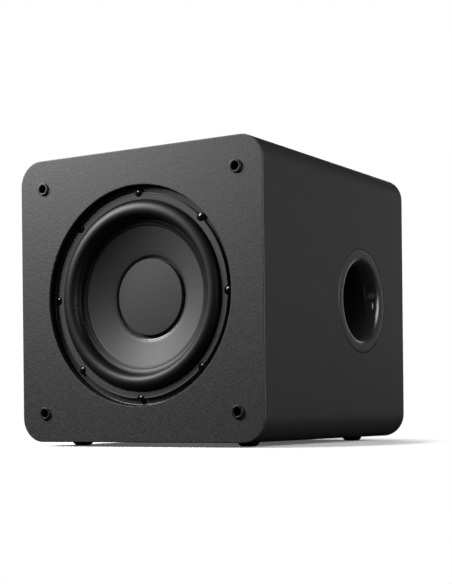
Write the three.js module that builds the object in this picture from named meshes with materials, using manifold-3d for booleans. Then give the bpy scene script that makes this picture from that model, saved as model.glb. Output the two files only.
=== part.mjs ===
// An active, ported subwoofer: a folded and mitred wood cabinet with a round-edged square front,
// an eight-inch driver sunk in the front, a flared port in the right side, and an amplifier
// plate on the back. Every size is in millimetres and +Z is up.
//
// The pieces are worked out in the cabinet's own frame: X runs to the right as seen from the
// front and is 0 on the centre line, Y is the depth behind the front face, and Z is the height
// above the cabinet's underside. The last lines move the whole group so that the floor is Z = 0
// and the origin is in the middle of its footprint.

import * as THREE from 'three';
import { mergeVertices } from 'three/addons/utils/BufferGeometryUtils.js';
import Module from 'manifold-3d';

const wasm = await Module();
wasm.setup();

// ---------------------------------------------------------------------------------------------
// Driving dimensions
// ---------------------------------------------------------------------------------------------

// Clearances
const gap = 0.3; // left between two pieces that touch
const mitreGap = gap * Math.SQRT2; // the same gap across a 45 degree joint, measured along Y
const cutOver = 1; // how far a cutting solid reaches past the face that it opens
const joinOver = 1; // how far one solid of a piece runs into the next

// Cabinet
const cabinetWidth = 290;
const cabinetHeight = 290;
const cabinetDepth = 316;
const cornerRadius = 25;
const wall = 15;
const baffleThickness = 28;
const rearThickness = 18;

// Window brace, a frame across the cabinet behind the magnet
const braceDepth = 128;
const braceThickness = 12;
const braceRim = 34;
const braceWindowRadius = 30;

// Feet, pushed into the floor board
const footInset = 44;
const footRadius = 10.5;
const footFlatRadius = 7;
const footHeight = 4.5;
const footStemRadius = 3;
const footStemLength = 10;
const footSoftEdge = 1.2;
const footSoftHeight = 1.6;
const footShoulderHeight = 3;

// Grille sockets
const socketInset = 29.5;
const socketLipRadius = 6.4;
const socketProud = 2;
const socketHoleRadius = 4.2;
const socketBodyRadius = 5.2;
const socketBodyLength = 14;
const socketFloor = 2;
const socketSoftEdge = 0.6;

// Driver: radii and depths behind the front face
const recessRadius = 109.2;
const frameRadius = 108.6;
const frameTop = 9.3;
const frameThickness = 4;
const driverSealThickness = 1.4;
const driverHoleRadius = 93.5;
const boltCircleRadius = 102.3;
const boltCount = 8;
const trimOuterRadius = 102;
const trimInnerRadius = 95;
const trimTop = 6.3;
const rollOuterRadius = 94;
const rollInnerRadius = 77.5;
const rollCrestDepth = 1;
const rollInnerDepth = 10.6;
const lipInnerRadius = 70.5;
const lipInnerDepth = 12;
const rubberThickness = 1.2;
const surroundFlangeRadius = 97.4;
const coneThickness = 0.9;
const coneRimInset = 1; // how far its edge stays inside the roll
const coneLipInset = 0.5; // how far its slope stays inside the rubber's lip
const coneGrooveRadius = 41.4;
const coneGrooveDepth = 25.4;
const capRadius = 38.4;
const capTop = 24.1;
const capThickness = 1.2;
const capSoftEdge = 0.8;
const capGlue = 0.4; // between its skirt and the cone
const formerInnerRadius = 25;
const formerThickness = 0.6;
const formerTop = 30;
const coilThickness = 1;
const coilLength = 20;
const formerOverhang = 2; // how far it reaches past the coil
const spiderOuterRadius = 65.4;
const spiderThickness = 1.2;
const spiderWaveHeight = 2.6;
const spiderWaves = 3;
const spiderCollar = 1.5; // flat cloth at each end of the waves
const spiderSeatDepth = 50;
const spiderSeatWidth = 8;
const spiderClearance = 1; // between its edge and the basket, round about
const spokeCount = 6;
const spokeWidth = 16;
const basketWall = 3;
const basketWindowTop = 27;
const basketWindowBottom = 44;
const basketFloorDepth = 62;
const basketFloorThickness = 3.7;
const basketRearRadius = 62;
const basketCoilClearance = 4; // between its floor and the coil
const topPlateRadius = 50;
const topPlateThickness = 8;
const coilClearance = 0.7;
const magnetInnerRadius = 34;
const magnetOuterRadius = 60;
const magnetThickness = 22;
const backPlateRadius = 52;
const backPlateThickness = 8;
const poleClearance = 0.6;
const poleVentRadius = 8;
const terminalWidth = 20;
const terminalThickness = 4;
const terminalLength = 9;
const terminalOverhang = 1.5; // how far it reaches behind the basket's floor
const terminalBossLength = 4;
const terminalBossWall = 0.5;
const tabSpread = 6.8; // each side of the boss
const tabWidth = 4.8;
const tabThickness = 0.8;
const tabLength = 7;

// Screws
const screwPointShare = 0.4; // of the shank's radius, at its tip
const screwRimShare = 0.45; // of the head's height, straight at the rim
const screwCrownShare = 0.62; // of the head's radius, flat on top
const driverScrewHeadRadius = 4;
const driverScrewHeadHeight = 2.6;
const driverScrewRadius = 2;
const driverScrewLength = 16;
const ampScrewHeadRadius = 3.6;
const ampScrewHeadHeight = 2.2;
const ampScrewRadius = 1.7;
const ampScrewLength = 14;

// Port, in the right side
const portDepth = 209.5; // from the front face to the port's centre
const portEndClearance = 42; // from its inner end to the far wall
const portFlangeRadius = 55;
const portFlangeThickness = 4;
const portMouthRadius = 43.5;
const portThroatRadius = 34;
const portFlareLength = 26;
const portNeckThickness = 2;
const portNeckLength = 16;
const portTubeThickness = 2.5;
const portShoulder = 3;
const portInnerMouthRadius = 43;

// Amplifier plate and what it carries
const ampWidth = 194;
const ampHeight = 234;
const ampCornerRadius = 7;
const ampPlateThickness = 3;
const ampSealThickness = 1.5;
const ampRim = 14; // how far the plate lies on the rear panel all round
const boardWidth = 140;
const boardHeight = 72;
const boardThickness = 1.6;
const boardStandoff = 17; // from the amplifier plate's inner face to the board
const boardHeightAboveCentre = 58;
const controlSpread = 42; // knobs and levers, each side of the centre line
const knobHeightAboveCentre = 78;
const leverHeightAboveCentre = 40;
const knobRadius = 9;
const knobLength = 15;
const knobGap = 1;
const knobGrip = 10; // how far the shaft runs into the knob
const knobSkirtHeight = 1.5;
const knobSkirtWidth = 0.8;
const knobTaper = 0.4;
const knobSoftEdge = 1;
const pointerWidth = 1;
const pointerProud = 0.4;
const pointerInset = 3; // from the knob's edge and its centre together
const shaftRadius = 3;
const bushThickness = 1.3;
const potWidth = 17;
const potDepth = 9;
const shaftBearing = 5; // how far the shaft runs into the pot
const leverWidth = 2.6;
const leverProud = 3.5;
const leverClearance = 0.4;
const phaseTravel = 4; // from one stop to the other
const modeTravel = 3; // each way from the middle position
const leverCanWidth = 16;
const leverCanHeight = 9;
const leverCanDepth = 10;
const leverGrip = 4; // how far a lever runs into its can
const jackSpacing = 18;
const jackBlockHeight = 14;
const jackBlockDepth = 9;
const jackRadius = 4.2;
const jackHoleRadius = 1.6;
const jackProud = 9;
const jackHoleFloor = 3; // behind the block's front
const capacitorRadius = 11;
const capacitorLength = 28;
const capacitorSpread = 34; // from one centre line to the other's
const capacitorSoftEdge = 1;
const capacitorCrimpWidth = 1;
const capacitorCrimpDepth = 0.8;
const capacitorFoot = 2; // between the crimp and the board
const inletOffset = 36;
const mainsDropBelowCentre = 78;
const inletFlangeWidth = 31;
const inletFlangeHeight = 24;
const inletFlangeThickness = 2.4;
const inletBodyWidth = 27.4;
const inletBodyHeight = 19.8;
const inletBodyDepth = 22;
const inletCavityWidth = 24.2;
const inletCavityHeight = 16.6;
const inletCavityDepth = 16;
const inletPinSpacing = 7;
const inletPinLength = 13;
const inletPinWidth = 2;
const inletPinHeight = 4;
const inletPinStagger = 2; // the middle pin above, the others below the centre line
const switchWidth = 15;
const switchHeight = 21;
const switchBezel = 2;
const switchBodyWall = 1.6;
const switchBodyDepth = 16;
const switchSideWall = 1; // beside the rocker
const switchEndWall = 0.6; // above and below it
const switchCavityDepth = 10;
const rockerPivotDepth = 4;
const rockerHalfLength = 7.2;
const rockerRise = 5.2;
const rockerDip = 3.4;
const rockerUnder = 1.5;
const rockerClearance = 0.5;
const rockerTilt = 8; // degrees each way from level
const transformerWidth = 60;
const transformerHeight = 52;
const transformerDepth = 46;
const transformerFoot = 2.5;
const transformerFootSpread = 12; // wider than the core, both sides together
const transformerFootShare = 0.6; // of the core's height
const windingWidth = 35;
const windingHeight = 42;
const windingBulge = 8; // how far it stands out of the core
const windingInset = 10; // from the plate and from its own front
const heatSinkWidth = 58;
const heatSinkHeight = 62;
const heatSinkBase = 4;
const finCount = 6;
const finThickness = 2.4;
const finDepth = 28;
const innerRowBelowCentre = 24;
const innerRowSpread = 40;

// Internal speaker lead
const leadRadius = 2.5;
const connectorSize = 9;
const connectorDepth = 8;

// How finely round pieces are cut
const driverSides = 32;
const motorSides = 20;
const portSides = 28;
const smallSides = 12;
const shankSides = 8;
const cornerSteps = 6;

// ---------------------------------------------------------------------------------------------
// Places worked out from the driving dimensions
// ---------------------------------------------------------------------------------------------

const centreHeight = cabinetHeight / 2;
const halfWidth = cabinetWidth / 2;

const sealTop = frameTop + frameThickness + gap;
const recessFloor = sealTop + driverSealThickness + gap;
const coneRise = coneGrooveDepth - lipInnerDepth - rubberThickness;
const coneSlope = coneRise / (lipInnerRadius - coneGrooveRadius);
const formerOuterRadius = formerInnerRadius + formerThickness;
const coilOuterRadius = formerOuterRadius + coilThickness;
const topPlateTop = basketFloorDepth + basketFloorThickness + gap;
const coilCentre = topPlateTop + topPlateThickness / 2;
const formerBottom = coilCentre + coilLength / 2 + formerOverhang;
const magnetTop = topPlateTop + topPlateThickness + gap;
const backPlateTop = magnetTop + magnetThickness + gap;
const backPlateBottom = backPlateTop + backPlateThickness;

const ampSealFront = cabinetDepth + gap;
const ampPlateFront = ampSealFront + ampSealThickness + gap;
const ampPlateBack = ampPlateFront + ampPlateThickness;
const boardBack = ampPlateFront - boardStandoff;
const boardFront = boardBack - boardThickness;
const boardCentreHeight = centreHeight + boardHeightAboveCentre;
const mainsHeight = centreHeight - mainsDropBelowCentre;
const innerRowHeight = centreHeight - innerRowBelowCentre;
const knobBack = ampPlateBack + knobGap;
const bushRadius = shaftRadius + gap + bushThickness;
const leverRoot = boardBack + leverCanDepth - leverGrip;
const shaftRoot = boardBack + potDepth - shaftBearing;

const portLength = cabinetWidth - wall - portEndClearance;
const portNeckRadius = portThroatRadius + portNeckThickness;
const portTubeInnerRadius = portNeckRadius + gap;
const portTubeOuterRadius = portTubeInnerRadius + portTubeThickness;
const portShoulderDepth = portFlareLength + portShoulder;
const portBodyRadius = portMouthRadius + portNeckThickness;

// ---------------------------------------------------------------------------------------------
// Materials
// ---------------------------------------------------------------------------------------------

function finish(colour, roughness, metalness = 0) {
  return new THREE.MeshStandardMaterial({ color: colour, roughness, metalness });
}

const finishes = {
  wrappedBoard: finish(0x2b2b2c, 0.75),
  rawBoard: finish(0x9a7a55, 0.9),
  rubber: finish(0x1c1c1d, 0.6),
  trimRubber: finish(0x3c3c3d, 0.7),
  paper: finish(0x2a2a2b, 0.8),
  blackPlastic: finish(0x161617, 0.45),
  glossPlastic: finish(0x0c0c0d, 0.18),
  blackMetal: finish(0x121213, 0.5, 0.6),
  zincSteel: finish(0x9c9ea2, 0.35, 0.9),
  blackSteel: finish(0x0e0e0f, 0.35, 0.8),
  ferrite: finish(0x2e2f31, 0.85, 0.1),
  copper: finish(0x8a4b25, 0.4, 0.9),
  kapton: finish(0x7a4a1c, 0.4),
  cloth: finish(0x8b6a3f, 0.9),
  foam: finish(0x1a1a1a, 0.95),
  aluminium: finish(0x8d9094, 0.4, 0.9),
  circuitBoard: finish(0x1d4a2b, 0.6),
  windings: finish(0x4a3a2a, 0.6, 0.3),
  tinnedMetal: finish(0xa9a59a, 0.35, 0.9),
  cable: finish(0x202022, 0.55),
};

// ---------------------------------------------------------------------------------------------
// Solids
// ---------------------------------------------------------------------------------------------

// A closed geometry as a solid that can be joined and cut.
function solid(geometry) {
  const bare = geometry.clone();
  bare.deleteAttribute('normal');
  bare.deleteAttribute('uv');
  const merged = mergeVertices(bare, 1e-4);
  return new wasm.Manifold(new wasm.Mesh({
    numProp: 3,
    vertProperties: new Float32Array(merged.attributes.position.array),
    triVerts: new Uint32Array(merged.index.array),
  }));
}

// A solid back as a geometry with flat faces.
function geometryOf(body) {
  const mesh = body.getMesh();
  const geometry = new THREE.BufferGeometry();
  geometry.setAttribute('position', new THREE.BufferAttribute(mesh.vertProperties, 3));
  geometry.setIndex(new THREE.BufferAttribute(mesh.triVerts, 1));
  const flat = geometry.toNonIndexed();
  flat.computeVertexNormals();
  return flat;
}

function join(bodies) {
  return bodies.reduce((whole, body) => whole.add(body));
}

function cut(body, tools) {
  return tools.reduce((left, tool) => left.subtract(tool), body);
}

// A box from its lowest to its highest corner.
function box(low, high) {
  const size = high.map((value, axis) => value - low[axis]);
  const middle = high.map((value, axis) => (value + low[axis]) / 2);
  return solid(new THREE.BoxGeometry(...size).translate(...middle));
}

// A box centred on x and z, running from one depth to another.
function block(x, z, width, height, fromY, toY) {
  return box([x - width / 2, fromY, z - height / 2], [x + width / 2, toY, z + height / 2]);
}

// A profile of [radius, distance along the axis] pairs turned about the Y axis. It runs
// anticlockwise with the radius to the right and the distance upwards, and it is closed.
function turned(profile, sides) {
  const first = profile[0];
  const points = [...profile, first].map(([radius, along]) => new THREE.Vector2(radius, along));
  return new THREE.LatheGeometry(points, sides);
}

// The same for a solid of the driver, whose axis runs back from the middle of the front.
function driverRing(profile, sides = driverSides) {
  return solid(turned(profile, sides).translate(0, 0, centreHeight));
}

// A rod between two depths, on a line along Y through x and z.
function rod(x, z, radius, fromY, toY, sides = smallSides) {
  const geometry = new THREE.CylinderGeometry(radius, radius, toY - fromY, sides);
  return solid(geometry.translate(x, (fromY + toY) / 2, z));
}

// The outline of a rectangle with round corners, anticlockwise, as points in X and Z.
function roundedOutline(width, height, radius) {
  const outline = [];
  const reachX = width / 2 - radius;
  const reachZ = height / 2 - radius;
  const corners = [
    [reachX, -reachZ, -90],
    [reachX, reachZ, 0],
    [-reachX, reachZ, 90],
    [-reachX, -reachZ, 180],
  ];
  for (const [x, z, start] of corners) {
    for (let step = 0; step <= cornerSteps; step++) {
      const angle = THREE.MathUtils.degToRad(start + (90 * step) / cornerSteps);
      outline.push(new THREE.Vector2(x + radius * Math.cos(angle), z + radius * Math.sin(angle)));
    }
  }
  return outline;
}

// A closed solid through outlines of equal count that stand at rising depths. Each section
// is { outline, y }, and the outlines are centred on the height given.
function loft(sections, height = centreHeight) {
  const count = sections[0].outline.length;
  const positions = sections.flatMap(({ outline, y }) => (
    outline.flatMap((point) => [point.x, y, point.y + height])
  ));
  const faces = [];
  for (let ring = 0; ring + 1 < sections.length; ring++) {
    for (let i = 0; i < count; i++) {
      const next = (i + 1) % count;
      const near = ring * count;
      const far = near + count;
      faces.push(near + i, far + i, far + next);
      faces.push(near + i, far + next, near + next);
    }
  }
  const cap = THREE.ShapeUtils.triangulateShape(sections[0].outline, []);
  const last = (sections.length - 1) * count;
  for (const [a, b, c] of cap) {
    faces.push(a, b, c);
    faces.push(last + c, last + b, last + a);
  }
  const geometry = new THREE.BufferGeometry();
  geometry.setAttribute('position', new THREE.Float32BufferAttribute(positions, 3));
  geometry.setIndex(faces);
  return solid(geometry);
}

// A plate with round corners between two depths, centred on the cabinet's middle.
function plate(width, height, radius, fromY, toY) {
  const outline = roundedOutline(width, height, radius);
  return loft([{ outline, y: fromY }, { outline, y: toY }]);
}

// The cabinet's own outline, drawn in by the given distance.
function cabinetOutline(inset) {
  const radius = Math.max(cornerRadius - inset, 1);
  return roundedOutline(cabinetWidth - 2 * inset, cabinetHeight - 2 * inset, radius);
}

// Points on a circle about the driver's axis, as [x, z, angle in radians].
function circlePlaces(radius, count) {
  return Array.from({ length: count }, (_, i) => {
    const angle = (i * 2 * Math.PI) / count;
    return [radius * Math.cos(angle), centreHeight + radius * Math.sin(angle), angle];
  });
}

// The four corners of a rectangle about the cabinet's middle, as [x, z].
function cornerPlaces(spreadX, spreadZ) {
  const signs = [[-1, 1], [1, 1], [-1, -1], [1, -1]];
  return signs.map(([sx, sz]) => [sx * spreadX, centreHeight + sz * spreadZ]);
}

const boltPlaces = circlePlaces(boltCircleRadius, boltCount);
const socketPlaces = cornerPlaces(halfWidth - socketInset, centreHeight - socketInset);
const ampScrewPlaces = [-1, 0, 1].flatMap((row) => [-1, 1].map((side) => [
  side * (ampWidth - ampRim) / 2,
  centreHeight + row * (ampHeight - ampRim) / 2,
]));
const footPlaces = [footInset, cabinetDepth - footInset].flatMap((depth) => [-1, 1].map((side) => [
  side * (halfWidth - footInset),
  depth,
]));

// ---------------------------------------------------------------------------------------------
// Cabinet
// ---------------------------------------------------------------------------------------------

// A profile about the port's axis, as [radius, distance in from the right side], clockwise with
// the radius to the right and the distance upwards. It is turned and laid across the cabinet.
function portRing(profile) {
  const outward = profile.map(([radius, inward]) => [radius, -inward]);
  const ring = turned(outward, portSides).rotateZ(-Math.PI / 2);
  return solid(ring.translate(halfWidth, portDepth, centreHeight));
}

// A foot's profile, with the height above the cabinet's underside, stood upright.
function footRing(profile, x, depth) {
  return solid(turned(profile, smallSides).rotateX(Math.PI / 2).translate(x, depth, 0));
}

// A four-sided tube with its ends cut to 45 degrees, so that front and back meet it on the edge.
function cabinetShell() {
  const outline = cabinetOutline(0);
  const outside = loft([{ outline, y: 0 }, { outline, y: cabinetDepth }]);
  const open = cabinetOutline(-cutOver - mitreGap);
  const inside = cabinetOutline(wall);
  const hollow = loft([
    { outline: open, y: -cutOver },
    { outline: inside, y: wall + mitreGap },
    { outline: inside, y: cabinetDepth - wall - mitreGap },
    { outline: open, y: cabinetDepth + cutOver },
  ]);
  const flangeSeat = portRing([[0, -cutOver], [0, portFlangeThickness + gap],
    [portFlangeRadius + gap, portFlangeThickness + gap], [portFlangeRadius + gap, -cutOver]]);
  const portHole = portRing([[0, -cutOver], [0, wall + cutOver],
    [portBodyRadius + gap, wall + cutOver], [portBodyRadius + gap, -cutOver]]);
  const stemHole = [[0, -cutOver], [footStemRadius + gap, -cutOver],
    [footStemRadius + gap, footStemLength + gap], [0, footStemLength + gap]];
  const stemHoles = footPlaces.map(([x, depth]) => footRing(stemHole, x, depth));
  return cut(outside, [hollow, flangeSeat, portHole, ...stemHoles]);
}

function frontBaffle() {
  const inside = cabinetOutline(wall + gap);
  const panel = loft([
    { outline: cabinetOutline(0), y: 0 },
    { outline: inside, y: wall + gap },
    { outline: inside, y: baffleThickness },
  ]);
  const recess = driverRing([[0, -cutOver], [recessRadius, -cutOver],
    [recessRadius, recessFloor], [0, recessFloor]]);
  const through = driverRing([[0, recessFloor - cutOver], [driverHoleRadius, recessFloor - cutOver],
    [driverHoleRadius, baffleThickness + cutOver], [0, baffleThickness + cutOver]]);
  const screwEnd = frameTop - gap + driverScrewLength + gap;
  const pilots = boltPlaces.map(([x, z]) => rod(x, z, driverScrewRadius + gap,
    recessFloor - cutOver, screwEnd, shankSides));
  const sockets = socketPlaces.map(([x, z]) => rod(x, z, socketBodyRadius + gap,
    -cutOver, socketBodyLength + gap));
  return cut(panel, [recess, through, ...pilots, ...sockets]);
}

function rearPanel() {
  const inside = cabinetOutline(wall + gap);
  const panel = loft([
    { outline: inside, y: cabinetDepth - rearThickness },
    { outline: inside, y: cabinetDepth - wall - gap },
    { outline: cabinetOutline(0), y: cabinetDepth },
  ]);
  const opening = plate(ampWidth - 2 * ampRim, ampHeight - 2 * ampRim, ampCornerRadius,
    cabinetDepth - rearThickness - cutOver, cabinetDepth + cutOver);
  const screwEnd = ampPlateBack + gap - ampScrewLength - gap;
  const pilots = ampScrewPlaces.map(([x, z]) => rod(x, z, ampScrewRadius + gap,
    screwEnd, cabinetDepth + cutOver, shankSides));
  return cut(panel, [opening, ...pilots]);
}

function internalBrace() {
  const outline = cabinetOutline(wall + gap);
  const panel = loft([{ outline, y: braceDepth }, { outline, y: braceDepth + braceThickness }]);
  const rim = 2 * (wall + braceRim);
  const window = plate(cabinetWidth - rim, cabinetHeight - rim, braceWindowRadius,
    braceDepth - cutOver, braceDepth + braceThickness + cutOver);
  return cut(panel, [window]);
}

// A flare's surface from its mouth to its throat: a quarter of an ellipse that leaves the
// mouth's plane level and meets the throat parallel to the axis. from and to are its ends
// along the port, and the points run from the mouth to the throat.
function flareCurve(mouthRadius, from, to) {
  const steps = 4;
  return Array.from({ length: steps + 1 }, (_, i) => {
    const angle = (i / steps) * (Math.PI / 2);
    const radius = mouthRadius - (mouthRadius - portThroatRadius) * Math.sin(angle);
    return [radius, from + (to - from) * (1 - Math.cos(angle))];
  });
}

function portFlare() {
  const neckEnd = portShoulderDepth + portNeckLength;
  return portRing([
    [portFlangeRadius, 0],
    ...flareCurve(portMouthRadius, 0, portFlareLength),
    [portThroatRadius, neckEnd],
    [portNeckRadius, neckEnd],
    [portNeckRadius, portShoulderDepth],
    [portTubeOuterRadius, portShoulderDepth],
    [portTubeOuterRadius, portFlareLength],
    [portBodyRadius, wall],
    [portBodyRadius, portFlangeThickness],
    [portFlangeRadius, portFlangeThickness],
  ]);
}

function portTube() {
  const start = portShoulderDepth + gap;
  const end = portLength - portShoulderDepth - gap;
  return portRing([[portTubeInnerRadius, start], [portTubeInnerRadius, end],
    [portTubeOuterRadius, end], [portTubeOuterRadius, start]]);
}

function portInnerFlare() {
  const shoulder = portLength - portShoulderDepth;
  const neckEnd = shoulder - portNeckLength;
  return portRing([
    [portNeckRadius, neckEnd],
    [portThroatRadius, neckEnd],
    ...flareCurve(portInnerMouthRadius, portLength, portLength - portFlareLength).reverse(),
    [portInnerMouthRadius + portNeckThickness, portLength],
    [portTubeOuterRadius, portLength - portFlareLength / 2],
    [portTubeOuterRadius, shoulder],
    [portNeckRadius, shoulder],
  ]);
}

function grilleSocket([x, z]) {
  const bottom = socketBodyLength;
  const profile = [
    [0, bottom - socketFloor],
    [socketHoleRadius, bottom - socketFloor],
    [socketHoleRadius, -socketProud],
    [socketLipRadius - socketSoftEdge, -socketProud],
    [socketLipRadius, socketSoftEdge - socketProud],
    [socketLipRadius, -gap],
    [socketBodyRadius, -gap],
    [socketBodyRadius, bottom],
    [0, bottom],
  ];
  return solid(turned(profile, smallSides).translate(x, 0, z));
}

function foot([x, depth]) {
  return footRing([
    [0, -footHeight],
    [footFlatRadius, -footHeight],
    [footRadius - footSoftEdge, footSoftHeight - footHeight],
    [footRadius, footShoulderHeight - footHeight],
    [footRadius, -gap],
    [footStemRadius, -gap],
    [footStemRadius, footStemLength],
    [0, footStemLength],
  ], x, depth);
}

// ---------------------------------------------------------------------------------------------
// Driver
// ---------------------------------------------------------------------------------------------

// The depth of the cone's front surface at a radius.
function coneDepth(radius) {
  return coneGrooveDepth - (radius - coneGrooveRadius) * coneSlope;
}

// A flat flange, a cup with six spokes round its windows, a seat for the spider and a floor.
function basket() {
  const seat = spiderSeatDepth;
  const inner = basketRearRadius - basketWall;
  const floorHole = coilOuterRadius + basketCoilClearance;
  const cup = driverRing([
    [driverHoleRadius - 2 * basketWall, frameTop],
    [frameRadius, frameTop],
    [frameRadius, frameTop + frameThickness],
    [driverHoleRadius - gap, frameTop + frameThickness],
    [driverHoleRadius - basketWall, basketWindowTop],
    [spiderOuterRadius + basketWall, basketWindowBottom],
    [spiderOuterRadius + basketWall, seat + basketWall],
    [basketRearRadius, seat + basketWall],
    [basketRearRadius, basketFloorDepth + basketFloorThickness],
    [floorHole, basketFloorDepth + basketFloorThickness],
    [floorHole, basketFloorDepth],
    [inner, basketFloorDepth],
    [spiderOuterRadius - spiderSeatWidth, seat],
    [spiderOuterRadius + spiderClearance, seat],
    [spiderOuterRadius + spiderClearance, basketWindowBottom],
    [driverHoleRadius - 2 * basketWall, basketWindowTop],
  ]);
  const between = (Math.PI * (basketRearRadius + driverHoleRadius)) / spokeCount - spokeWidth;
  const windows = Array.from({ length: spokeCount }, (_, i) => {
    const angle = ((i + 0.5) * 2 * Math.PI) / spokeCount;
    const reach = driverHoleRadius + 2 * basketWall;
    const opening = new THREE.BoxGeometry(reach, basketWindowBottom - basketWindowTop, between);
    opening.translate(reach / 2 + basketRearRadius / 2, (basketWindowBottom + basketWindowTop) / 2, 0);
    return solid(opening.rotateY(angle + Math.PI / 2).translate(0, 0, centreHeight));
  });
  const screwHoles = boltPlaces.map(([x, z]) => rod(x, z, driverScrewRadius + gap,
    frameTop - cutOver, frameTop + frameThickness + cutOver, shankSides));
  return cut(cup, [...windows, ...screwHoles]);
}

function driverSeal() {
  const bottom = sealTop + driverSealThickness;
  const ring = driverRing([[driverHoleRadius, sealTop], [frameRadius, sealTop],
    [frameRadius, bottom], [driverHoleRadius, bottom]]);
  const holes = boltPlaces.map(([x, z]) => rod(x, z, driverScrewRadius + gap,
    sealTop - cutOver, bottom + cutOver, shankSides));
  return cut(ring, holes);
}

// A ring that hides the rubber's edge. It is stepped underneath where it laps the rubber, and
// scalloped round each screw head.
function trimGasket() {
  const bottom = frameTop - gap;
  const overRubber = bottom - rubberThickness - gap;
  const ring = driverRing([
    [trimInnerRadius, trimTop],
    [trimOuterRadius, trimTop],
    [trimOuterRadius, bottom],
    [surroundFlangeRadius + gap, bottom],
    [surroundFlangeRadius + gap, overRubber],
    [trimInnerRadius, overRubber],
  ]);
  const scallops = boltPlaces.map(([x, z]) => rod(x, z, driverScrewHeadRadius + gap,
    trimTop - cutOver, bottom + cutOver));
  return cut(ring, scallops);
}

// A half roll of rubber between a flat flange outside and a sloping lip glued on the cone.
function surround() {
  const steps = 6;
  const flangeTop = frameTop - gap - rubberThickness;
  const middle = (rollOuterRadius + rollInnerRadius) / 2;
  const halfRoll = (rollOuterRadius - rollInnerRadius) / 2;
  const arc = Array.from({ length: steps + 1 }, (_, i) => (i / steps) * Math.PI);
  const across = (angle, thickness) => {
    const share = (1 - Math.cos(angle)) / 2;
    const base = rollInnerDepth + (flangeTop - rollInnerDepth) * share;
    const radius = middle - (halfRoll - thickness) * Math.cos(angle);
    return [radius, base + thickness - (base - rollCrestDepth) * Math.sin(angle)];
  };
  return driverRing([
    [lipInnerRadius, lipInnerDepth],
    ...arc.map((angle) => across(angle, 0)),
    [surroundFlangeRadius, flangeTop],
    [surroundFlangeRadius, flangeTop + rubberThickness],
    ...arc.map((angle) => across(angle, rubberThickness)).reverse(),
    [lipInnerRadius, lipInnerDepth + rubberThickness - gap],
  ]);
}

// A straight-sided cone from the coil former to under the lip.
function cone() {
  const neck = formerOuterRadius + gap;
  const rim = rollInnerRadius - coneRimInset;
  const lip = lipInnerRadius - coneLipInset;
  const front = lipInnerDepth + rubberThickness;
  const rimDepth = rollInnerDepth + rubberThickness + gap;
  return driverRing([
    [neck, coneDepth(neck)],
    [lip, front],
    [rim, rimDepth],
    [rim, rimDepth + coneThickness],
    [lip, front + coneThickness],
    [neck, coneDepth(neck) + coneThickness],
  ]);
}

// A flat disc on a short skirt that stands on the cone.
function dustCap() {
  const skirtBottom = coneDepth(capRadius) - capGlue;
  return driverRing([
    [0, capTop],
    [capRadius - capSoftEdge, capTop],
    [capRadius, capTop + capSoftEdge],
    [capRadius, skirtBottom],
    [capRadius - capThickness, skirtBottom],
    [capRadius - capThickness, capTop + capThickness],
    [0, capTop + capThickness],
  ]);
}

function voiceCoilFormer() {
  return driverRing([[formerInnerRadius, formerTop], [formerOuterRadius, formerTop],
    [formerOuterRadius, formerBottom], [formerInnerRadius, formerBottom]], motorSides);
}

// The winding, let in a little so that it and the former keep apart.
function voiceCoil() {
  const inner = formerOuterRadius + gap;
  const outer = coilOuterRadius + gap;
  const top = coilCentre - coilLength / 2;
  const bottom = coilCentre + coilLength / 2;
  return driverRing([[inner, top], [outer, top], [outer, bottom], [inner, bottom]], motorSides);
}

// A corrugated disc of cloth between the former and its seat in the basket.
function spider() {
  const inner = formerOuterRadius + gap;
  const waveEnd = spiderOuterRadius - spiderSeatWidth;
  const bottom = spiderSeatDepth - gap;
  const steps = spiderWaves * 2;
  const ridge = Array.from({ length: steps + 1 }, (_, i) => [
    inner + spiderCollar + ((waveEnd - inner - 2 * spiderCollar) * i) / steps,
    i % 2 ? -spiderWaveHeight : 0,
  ]);
  return driverRing([
    [inner, bottom - spiderThickness],
    ...ridge.map(([radius, rise]) => [radius, bottom - spiderThickness + rise]),
    [spiderOuterRadius, bottom - spiderThickness],
    [spiderOuterRadius, bottom],
    ...ridge.map(([radius, rise]) => [radius, bottom + rise]).reverse(),
    [inner, bottom],
  ], motorSides);
}

function topPlate() {
  const inner = coilOuterRadius + gap + coilClearance;
  const bottom = topPlateTop + topPlateThickness;
  return driverRing([[inner, topPlateTop], [topPlateRadius, topPlateTop],
    [topPlateRadius, bottom], [inner, bottom]], motorSides);
}

function magnetRing() {
  const bottom = magnetTop + magnetThickness;
  return driverRing([[magnetInnerRadius, magnetTop], [magnetOuterRadius, magnetTop],
    [magnetOuterRadius, bottom], [magnetInnerRadius, bottom]], motorSides);
}

// A back plate with the pole standing on it inside the coil, vented along its axis.
function polePiece() {
  const poleRadius = formerInnerRadius - poleClearance;
  return driverRing([
    [poleVentRadius, topPlateTop],
    [poleRadius, topPlateTop],
    [poleRadius, backPlateTop],
    [backPlateRadius, backPlateTop],
    [backPlateRadius, backPlateBottom],
    [poleVentRadius, backPlateBottom],
  ], motorSides);
}

// On top of the basket's rear cylinder, with a round boss that the lead comes out of.
const terminalHeight = centreHeight + basketRearRadius + gap + terminalThickness / 2;
const terminalBack = basketFloorDepth + basketFloorThickness + terminalOverhang;
const terminalBossBack = terminalBack + terminalBossLength;

function terminalBlock() {
  const body = block(0, terminalHeight, terminalWidth, terminalThickness,
    terminalBack - terminalLength, terminalBack);
  const root = terminalBack - joinOver;
  const boss = rod(0, terminalHeight, leadRadius + terminalBossWall, root, terminalBossBack);
  const tabs = [-1, 1].map((side) => block(side * tabSpread, terminalHeight, tabWidth, tabThickness,
    root, terminalBack + tabLength));
  return join([body, boss, ...tabs]);
}

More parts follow.
